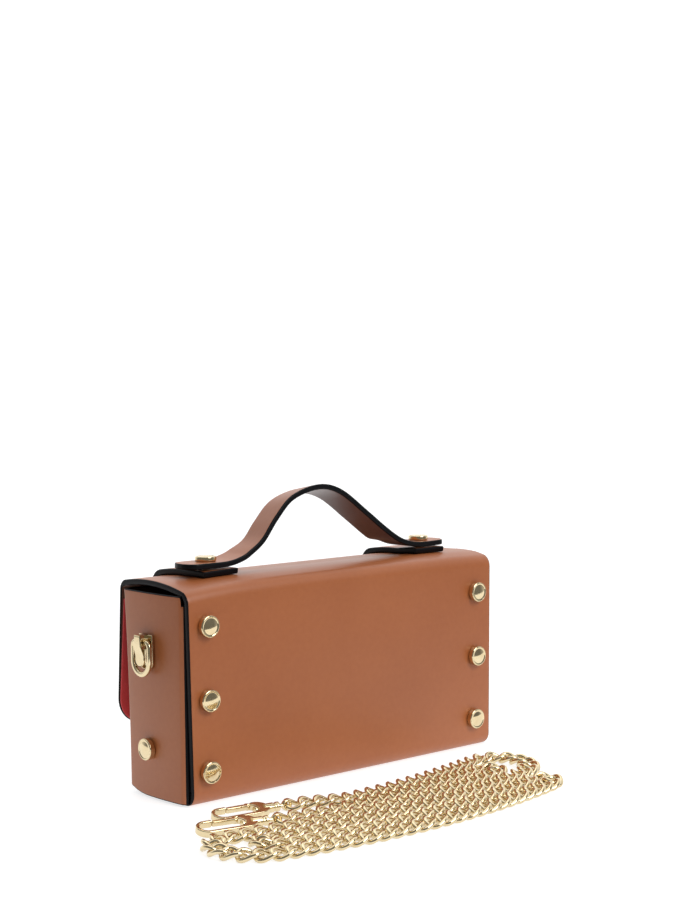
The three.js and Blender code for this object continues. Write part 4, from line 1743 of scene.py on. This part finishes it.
@dataclass
class SnapHook:
    """Snap hook of the chain strap: a loop on a swivel stem, with a sprung gate.

    Attributes:
        name: Name of the hook and its body.
        x: Place of the swivel along the bag.
        y: Place of the swivel across it.
        turn: Direction from the eye to the tip, in degrees.
        axis_z: Height of the swivel's axis.
        roll: How far the loop is rolled about that axis.
        length: Length of the loop.
        half: Half width of the loop.
        bar: Width of its bar.
        base: Width of its base.
        height: Thickness of the loop.
        edge: Radius of its edges.
        run_steps: Divisions of its straight side.
        slot_x: Stretch of the loop that the gate closes.
        collar: Radius, place along the axis and corner radius of the collar's points.
        collar_steps: Divisions around the collar.
        gate_y: Middle line of the gate.
        gate_x: Pivot and tip of the gate.
        gate_ends: Radius of the gate's knuckle and of its tip.
        gate_neck: Half angle of the knuckle that the lever takes up, in degrees.
        gate_half: Half thickness of the gate.
        gate_edge: Radius of its edges.
        eye_x: Middle of the eye.
        eye_radii: Outer and inner radius of the eye.
        eye_depth: Thickness of the eye.
        eye_edge: Radius of its edges.
        eye_steps: Divisions around the eye.
        stem: Radius, place along the axis and corner radius of the stem's points.
        stem_steps: Divisions around the stem.
    """

    name: str
    x: float
    y: float
    turn: float
    axis_z: float = 2.6
    roll: float = math.radians(-12)
    length: float = 28.0
    half: float = 5.2
    bar: float = 1.6
    base: float = 5.5
    height: float = 3.0
    edge: float = 0.45
    run_steps: int = 6
    slot_x: tuple[float, float] = (6.8, 19.6)
    collar: tuple[tuple[float, float, float], ...] = (
        (1.3, -5, 0), (2.2, -5, 0.3), (2.2, -3.6, 0.2), (1.9, -3.2, 0.2), (1.9, -2.4, 0.2),
        (2.2, -2.0, 0.2), (2.2, 2.5, 0), (1.3, 2.5, 0),
    )
    collar_steps: int = 36
    gate_y: float = -4.2
    gate_x: tuple[float, float] = (8.6, 18.35)
    gate_ends: tuple[float, float] = (1.5, 0.95)
    gate_neck: float = 40.0
    gate_half: float = 1.2
    gate_edge: float = 0.4
    eye_x: float = -9.2
    eye_radii: tuple[float, float] = (2.5, 1.3)
    eye_depth: float = 2.0
    eye_edge: float = 0.55
    eye_steps: int = 40
    stem: tuple[tuple[float, float, float], ...] = (
        (0, -7.2, 0), (1, -7.2, 0), (1, 6.3, 0), (1.8, 6.3, 0.15), (1.8, 7.3, 0.4), (0, 7.3, 0),
    )
    stem_steps: int = 28

    @property
    def along(self) -> Vector:
        """Direction from the eye to the tip.

        Returns:
            Unit vector in x and y.
        """
        return Vector((math.cos(math.radians(self.turn)), math.sin(math.radians(self.turn))))

    @property
    def eye(self) -> Vector:
        """Middle of the eye.

        Returns:
            Point in x and y.
        """
        return self.lay(Vector((self.eye_x, 0)), 0).xy

    def lay(self, point: Vector, reach: float) -> Vector:
        """Puts a point of a hook that is not rolled in the scene.

        Args:
            point: Point in the hook's own x and y.
            reach: Height above the hook's axis.

        Returns:
            Point in space.
        """
        ahead = self.along
        spot = Vector((self.x, self.y)) + point.x * ahead + point.y * Vector((-ahead.y, ahead.x))
        return Vector((spot.x, spot.y, self.axis_z + reach))

    def place(self, point: Vector, reach: float) -> Vector:
        """Puts a point of the rolled loop in the scene.

        Args:
            point: Point in the hook's own x and y.
            reach: Height above the hook's axis.

        Returns:
            Point in space.
        """
        across = point.y * math.cos(self.roll) - reach * math.sin(self.roll)
        rise = point.y * math.sin(self.roll) + reach * math.cos(self.roll)
        return self.lay(Vector((point.x, across)), rise)

    def stand(self, point: Vector, reach: float) -> Vector:
        """Puts a point of the upright eye in the scene.

        Args:
            point: Point along the hook and above its axis.
            reach: Distance to the side.

        Returns:
            Point in space.
        """
        return self.lay(Vector((point.x, reach)), point.y)

    def stadium(self, start: float, stop: float, half: float) -> list[Vector]:
        """Loop outline without the stretch that the gate closes.

        Args:
            start: Lowest x.
            stop: Highest x.
            half: Half width.

        Returns:
            Points from the far side of the gate round to its near side.
        """
        far = arc(Vector((stop - half, 0)), half, -math.pi / 2, math.pi / 2, step=10)
        near = arc(Vector((start + half, 0)), half, math.pi / 2, 1.5 * math.pi, step=10)
        step = (start - stop + 2 * half) / self.run_steps
        run = [Vector((stop - half + step * k, half)) for k in range(1, self.run_steps)]
        return [Vector((self.slot_x[1], -half))] + far + run + near + [Vector((self.slot_x[0], -half))]

    def build(self, palette: Palette) -> None:
        """Makes the loop, the gate and the eye.

        Args:
            palette: Materials.
        """
        swivel, axis = self.place(Vector((0, 0)), 0), self.along.to_3d()
        shape = bmesh.new()
        outer = self.stadium(0, self.length, self.half)
        inner = self.stadium(self.base, self.length - self.bar, self.half - self.bar)
        band(shape, outer, inner, self.height, self.edge, self.place, closed=False)
        collar = rounded(self.collar)
        lathe(shape, collar + collar[:1], swivel, axis, self.collar_steps)
        palette.publish_gold(f"gold_{self.name}_loop", shape, f"{self.name}_body", body=self.name)
        gate = bmesh.new()
        pivot, tip = [Vector((x, self.gate_y)) for x in self.gate_x]
        neck = math.radians(self.gate_neck)
        outline = arc(pivot, self.gate_ends[0], neck, 2 * math.pi - neck, step=15)
        outline += arc(tip, self.gate_ends[1], -math.pi / 2, math.pi / 2, step=20)
        plate(gate, outline, -self.gate_half, self.gate_half, self.place, self.gate_edge)
        node = f"{self.name}_gate"
        palette.publish_gold(f"gold_{node}_lever", gate, node, body=node)
        eye = bmesh.new()
        angles = [2 * math.pi * k / self.eye_steps for k in range(self.eye_steps)]
        circle = [Vector((math.cos(a), math.sin(a))) for a in angles]
        middle = Vector((self.eye_x, 0))
        outer, inner = [[middle + radius * p for p in circle] for radius in self.eye_radii]
        band(eye, outer, inner, self.eye_depth, self.eye_edge, self.stand)
        lathe(eye, rounded(self.stem), swivel, axis, self.stem_steps)
        node = f"{self.name}_eye"
        palette.publish_gold(f"gold_{node}_ring", eye, node)


@dataclass
class ChainStrap:
    """Curb chain of interlocking links, laid in six bowed rows beside the bag.

    Attributes:
        hooks: Hooks at its ends.
        first_row: Place of the row next to the bag.
        row_pitch: Distance between rows.
        row_steps: Divisions of a row.
        bow: Bow of the rows.
        bow_x: Where the rows are furthest from the bag.
        end_bend: Length in which a row bends to its hook.
        end_gap: Space between the route's end and the hook's eye.
        turn_steps: Divisions of a turn between rows.
        turn_lead: Points of a row that give the direction of a turn.
        turn_reach: How far a turn swings out, as a share of its width.
        link_pitch: Distance between links.
        link_long: Half length of a link's middle line.
        link_wide: Half width of that line.
        link_twist: Height of its twist.
        link_overlap: How far the end links reach into the eyes.
        wire: Thickness of the wire.
        lie_z: Height of the links' middle.
        around: Divisions around a link.
        section: Sides of the wire.
        rows: Row number, start and stop of each run, which are a place along the bag or a hook.
    """

    hooks: dict[str, SnapHook]
    first_row: float = 66.0
    row_pitch: float = 10.8
    row_steps: int = 60
    bow: float = 0.0014
    bow_x: float = 40.0
    end_bend: float = 28.0
    end_gap: float = 0.4
    turn_steps: int = 20
    turn_lead: int = 5
    turn_reach: float = 2 / 3
    link_pitch: float = 7.0
    link_long: float = 5.0
    link_wide: float = 4.15
    link_twist: float = 1.3
    link_overlap: float = 0.2
    wire: float = 2.15
    lie_z: float = 2.4
    around: int = 26
    section: int = 8
    rows: tuple[tuple[int, float | str, float | str], ...] = (
        (0, "hook_a", -55), (3, -55, 109), (4, 109, -48), (5, -48, 116.5), (2, 116.5, -44),
        (1, -44, "hook_b"),
    )

    def end_of(self, name: str) -> Vector:
        """Where the chain ends at a hook.

        Args:
            name: Name of the hook.

        Returns:
            Point in x and y, just short of the hook's eye.
        """
        hook = self.hooks[name]
        return Vector((hook.x, hook.y)) + (hook.eye_x - hook.eye_radii[0] - self.end_gap) * hook.along

    def row_point(self, row: int, x: float, end: Vector | None) -> Vector:
        """Point on a row.

        Args:
            row: Number of the row from the bag.
            x: Place along the bag.
            end: Where the row meets a hook, if it does.

        Returns:
            Point in x and y.
        """
        y = self.first_row + self.row_pitch * row - self.bow * (x - self.bow_x) ** 2
        if end is None:
            return Vector((x, y))
        miss = end.y - self.row_point(row, end.x, None).y
        return Vector((x, y + miss * smoothstep(x, end.x - self.end_bend, end.x)))

    def route(self) -> list[Vector]:
        """Whole route of the chain.

        Returns:
            Close points in x and y from hook A to hook B.
        """
        shares = [k / self.row_steps for k in range(self.row_steps + 1)]
        runs = []
        for row, start, stop in self.rows:
            name = next((value for value in (start, stop) if isinstance(value, str)), None)
            end = self.end_of(name) if name else None
            first, last = (end.x if isinstance(value, str) else value for value in (start, stop))
            runs.append([self.row_point(row, first + (last - first) * share, end) for share in shares])
        points = list(runs[0])
        for run, after in zip(runs, runs[1:]):
            points += self.turn(run, after) + after
        return points

    def turn(self, run: Sequence[Vector], after: Sequence[Vector]) -> list[Vector]:
        """Turn between two rows.

        Args:
            run: Row that ends there.
            after: Row that starts there.

        Returns:
            Points of the turn without its ends.
        """
        a, d = run[-1], after[0]
        reach = self.turn_reach * (d - a).length
        b = a + reach * (a - run[-1 - self.turn_lead]).normalized()
        c = d + reach * (d - after[self.turn_lead]).normalized()
        points = []
        for k in range(1, self.turn_steps):
            t = k / self.turn_steps
            s = 1 - t
            points.append(a * s ** 3 + b * 3 * t * s ** 2 + c * 3 * t ** 2 * s + d * t ** 3)
        return points

    def stations(self) -> list[tuple[Vector, Vector]]:
        """Middle and direction of each link.

        Returns:
            One pair for each link, evenly spaced along the route.
        """
        route = [self.hooks["hook_a"].eye, *self.route(), self.hooks["hook_b"].eye]
        lengths = [0.0]
        for start, stop in zip(route, route[1:]):
            lengths.append(lengths[-1] + (stop - start).length)
        first = self.link_long - self.link_overlap
        span = lengths[-1] - 2 * first
        steps = round(span / self.link_pitch)
        pitch = span / steps
        made = []
        for i in range(steps + 1):
            middle = first + i * pitch
            ahead, behind = [self.at(route, lengths, middle + half) for half in (pitch / 2, -pitch / 2)]
            made.append(((ahead + behind) / 2, (ahead - behind).normalized()))
        log.info("chain: %d links on %.0f mm", len(made), lengths[-1])
        return made

    @staticmethod
    def at(route: Sequence[Vector], lengths: Sequence[float], length: float) -> Vector:
        """Point at a length along the route.

        Args:
            route: Points of the route.
            lengths: Length of the route up to each point.
            length: Length from its start, held within the route.

        Returns:
            Point in x and y.
        """
        value = min(max(length, 0.0), lengths[-1])
        index = next(i for i in range(1, len(lengths)) if lengths[i] >= value)
        share = (value - lengths[index - 1]) / max(lengths[index] - lengths[index - 1], TINY)
        return route[index - 1].lerp(route[index], share)

    def link(self) -> list[list[Vector]]:
        """Wire loop of one link at the origin.

        Returns:
            Rings of points around the wire.
        """
        middles = []
        for t in (2 * math.pi * i / self.around for i in range(self.around)):
            twist = -self.link_twist * math.sin(2 * t)
            middles.append(Vector((self.link_long * math.cos(t), self.link_wide * math.sin(t), twist)))
        rings = []
        for i, middle in enumerate(middles):
            ahead = (middles[(i + 1) % self.around] - middles[i - 1]).normalized()
            side = ahead.cross(Vector((0, 0, 1))).normalized()
            up = side.cross(ahead)
            angles = (2 * math.pi * k / self.section for k in range(self.section))
            rings.append([middle + self.wire / 2 * (math.cos(a) * side + math.sin(a) * up) for a in angles])
        return rings

    def build(self, palette: Palette) -> None:
        """Makes the chain as one mesh of separate links.

        Args:
            palette: Materials.
        """
        shape = bmesh.new()
        rings = self.link()
        for middle, ahead in self.stations():
            side = Vector((-ahead.y, ahead.x))
            loops = []
            for ring in rings:
                points = [middle + p.x * ahead + p.y * side for p in ring]
                loops.append([shape.verts.new((q.x, q.y, self.lie_z + p.z)) for q, p in zip(points, ring)])
            join_loops(shape, loops, closed=True)
        bmesh.ops.recalc_face_normals(shape, faces=shape.faces[:])
        palette.publish_gold("gold_chain_links", shape, "chain", sharp=80.0)


# Studio, in metres


@dataclass(frozen=True)
class Softbox:
    """Square area light.

    Attributes:
        name: Name of the light.
        at: Its place.
        target: Point it faces.
        size: Side length.
        power: Power in watts.
    """

    name: str
    at: tuple[float, float, float]
    target: tuple[float, float, float]
    size: float
    power: float

    def build(self) -> None:
        """Adds the light."""
        data = bpy.data.lights.new(self.name, "AREA")
        data.size = self.size
        data.energy = self.power
        lamp = bpy.data.objects.new(self.name, data)
        lamp.location = self.at
        lamp.rotation_euler = (Vector(self.target) - Vector(self.at)).to_track_quat("-Z", "Y").to_euler()
        bpy.context.scene.collection.objects.link(lamp)


@dataclass(frozen=True)
class Studio:
    """Pale floor, soft light and the photograph's camera.

    Attributes:
        camera_at: Place of the camera.
        target: Point it faces.
        lens: Focal length in millimetres.
        sensor: Sensor width in millimetres.
        clip: Nearest distance that shows.
        roll: Roll of the camera in degrees.
        floor_half: Half side of the floor.
        floor_near: Where the floor ends along x and y, in front of the camera.
        floor_grey: Brightness of the floor's paint.
        floor_rough: Roughness of the floor.
        floor_glow: Light that the floor gives.
        bright_side: Direction that the brighter light comes from.
        bright_span: Facing at which the light is dimmest and brightest.
        near_level: Dimmest light.
        far_level: Brightest light.
        softboxes: Lamps.
    """

    camera_at: tuple[float, float, float] = (0.52999, 0.62243, 0.19044)
    target: tuple[float, float, float] = (-0.015512, 0.0, 0.153452)
    lens: float = 66.69
    sensor: float = 36.0
    clip: float = 0.01
    roll: float = -0.658
    floor_half: float = 4.0
    floor_near: tuple[float, float] = (0.42, 0.3)
    floor_grey: float = 0.4
    floor_rough: float = 0.7
    floor_glow: float = 0.76
    bright_side: tuple[float, float, float] = (-0.62, -0.75, 0.2)
    bright_span: tuple[float, float] = (-0.1, 0.75)
    near_level: float = 0.2
    far_level: float = 1.2
    softboxes: tuple[Softbox, ...] = (
        Softbox("key_softbox", (-0.25, 1.3, 1.0), (0.0, 0.0, 0.06), 0.9, 16.0),
        Softbox("top_softbox", (0.0, 0.0, 1.5), (0.0, 0.0, 0.0), 1.4, 5.0),
    )

    def build(self) -> None:
        """Makes the camera, the floor and the lights."""
        self._camera()
        self._floor()
        self._sky()
        for softbox in self.softboxes:
            softbox.build()

    def _camera(self) -> None:
        """Makes the camera at the photograph's place."""
        data = bpy.data.cameras.new("photo_camera")
        data.lens = self.lens
        data.sensor_width = self.sensor
        data.clip_start = self.clip
        camera = bpy.data.objects.new("photo_camera", data)
        look = (Vector(self.target) - Vector(self.camera_at)).to_track_quat("-Z", "Y")
        camera.location = self.camera_at
        camera.rotation_mode = "QUATERNION"
        camera.rotation_quaternion = look @ Quaternion((0, 0, 1), math.radians(self.roll))
        bpy.context.scene.collection.objects.link(camera)
        bpy.context.scene.camera = camera

    def _floor(self) -> None:
        """Makes the pale floor, which ends in front of the camera."""
        shape = bmesh.new()
        shift = [near - self.floor_half for near in self.floor_near]
        place = Matrix.Translation((*shift, 0.0))
        bmesh.ops.create_grid(shape, x_segments=8, y_segments=8, size=self.floor_half, matrix=place)
        mesh = bpy.data.meshes.new("studio_floor")
        shape.to_mesh(mesh)
        shape.free()
        material = bpy.data.materials.new("white_floor")
        material.use_nodes = True
        set_inputs(material.node_tree.nodes["Principled BSDF"], {
            "Base Color": (self.floor_grey, self.floor_grey, self.floor_grey, 1),
            "Roughness": self.floor_rough,
            "Emission Color": (1, 1, 1, 1),
            "Emission Strength": self.floor_glow,
        })
        mesh.materials.append(material)
        floor = bpy.data.objects.new("studio_floor", mesh)
        bpy.context.scene.collection.objects.link(floor)

    def _sky(self) -> None:
        """Lights the scene from all round, dimmer on the near side, before a white backdrop."""
        world = bpy.data.worlds.new("studio_white")
        world.use_nodes = True
        tree = world.node_tree
        place = tree.nodes.new("ShaderNodeTexCoord")
        facing = tree.nodes.new("ShaderNodeVectorMath")
        facing.operation = "DOT_PRODUCT"
        facing.inputs[1].default_value = self.bright_side
        tree.links.new(place.outputs["Generated"], facing.inputs[0])
        level = tree.nodes.new("ShaderNodeMapRange")
        level.interpolation_type = "SMOOTHSTEP"
        set_inputs(level, {
            "From Min": self.bright_span[0], "From Max": self.bright_span[1],
            "To Min": self.near_level, "To Max": self.far_level,
        })
        tree.links.new(facing.outputs["Value"], level.inputs["Value"])
        seen = tree.nodes.new("ShaderNodeLightPath")
        strength = tree.nodes.new("ShaderNodeMath")
        strength.operation = "MAXIMUM"
        tree.links.new(level.outputs["Result"], strength.inputs[0])
        tree.links.new(seen.outputs["Is Camera Ray"], strength.inputs[1])
        backdrop = tree.nodes["Background"]
        set_inputs(backdrop, {"Color": (1, 1, 1, 1)})
        tree.links.new(strength.outputs["Value"], backdrop.inputs["Strength"])
        bpy.context.scene.world = world
        bpy.context.scene.view_settings.view_transform = "Standard"


def main() -> None:
    """Builds every sub-assembly in order."""
    logging.basicConfig(level=logging.INFO, format="%(name)s: %(message)s")
    Studio().build()
    palette = Palette()
    lining, wall, handle = FlapLining(), FrontWall(), Handle()
    straps = {end: HandleStrap(end) for end in SIDES}
    rivets = [rivet for end in SIDES for rivet in RivetPlan().side(end, wall, handle, straps[end], lining)]
    hooks = {
        "hook_a": SnapHook("hook_a", x=76.3, y=54.6, turn=-8.0),
        "hook_b": SnapHook("hook_b", x=94.2, y=69.1, turn=-13.0),
    }
    tabs = [EndTab(end) for end in SIDES]
    rings = [RingFitting(end, wall.face_x) for end in SIDES]
    leather = [BodyWrap(), *tabs, lining, wall, handle, *straps.values()]
    for piece in [*leather, *rivets, *rings, *hooks.values(), ChainStrap(hooks)]:
        piece.build(palette)


if __name__ == "__main__":
    main()
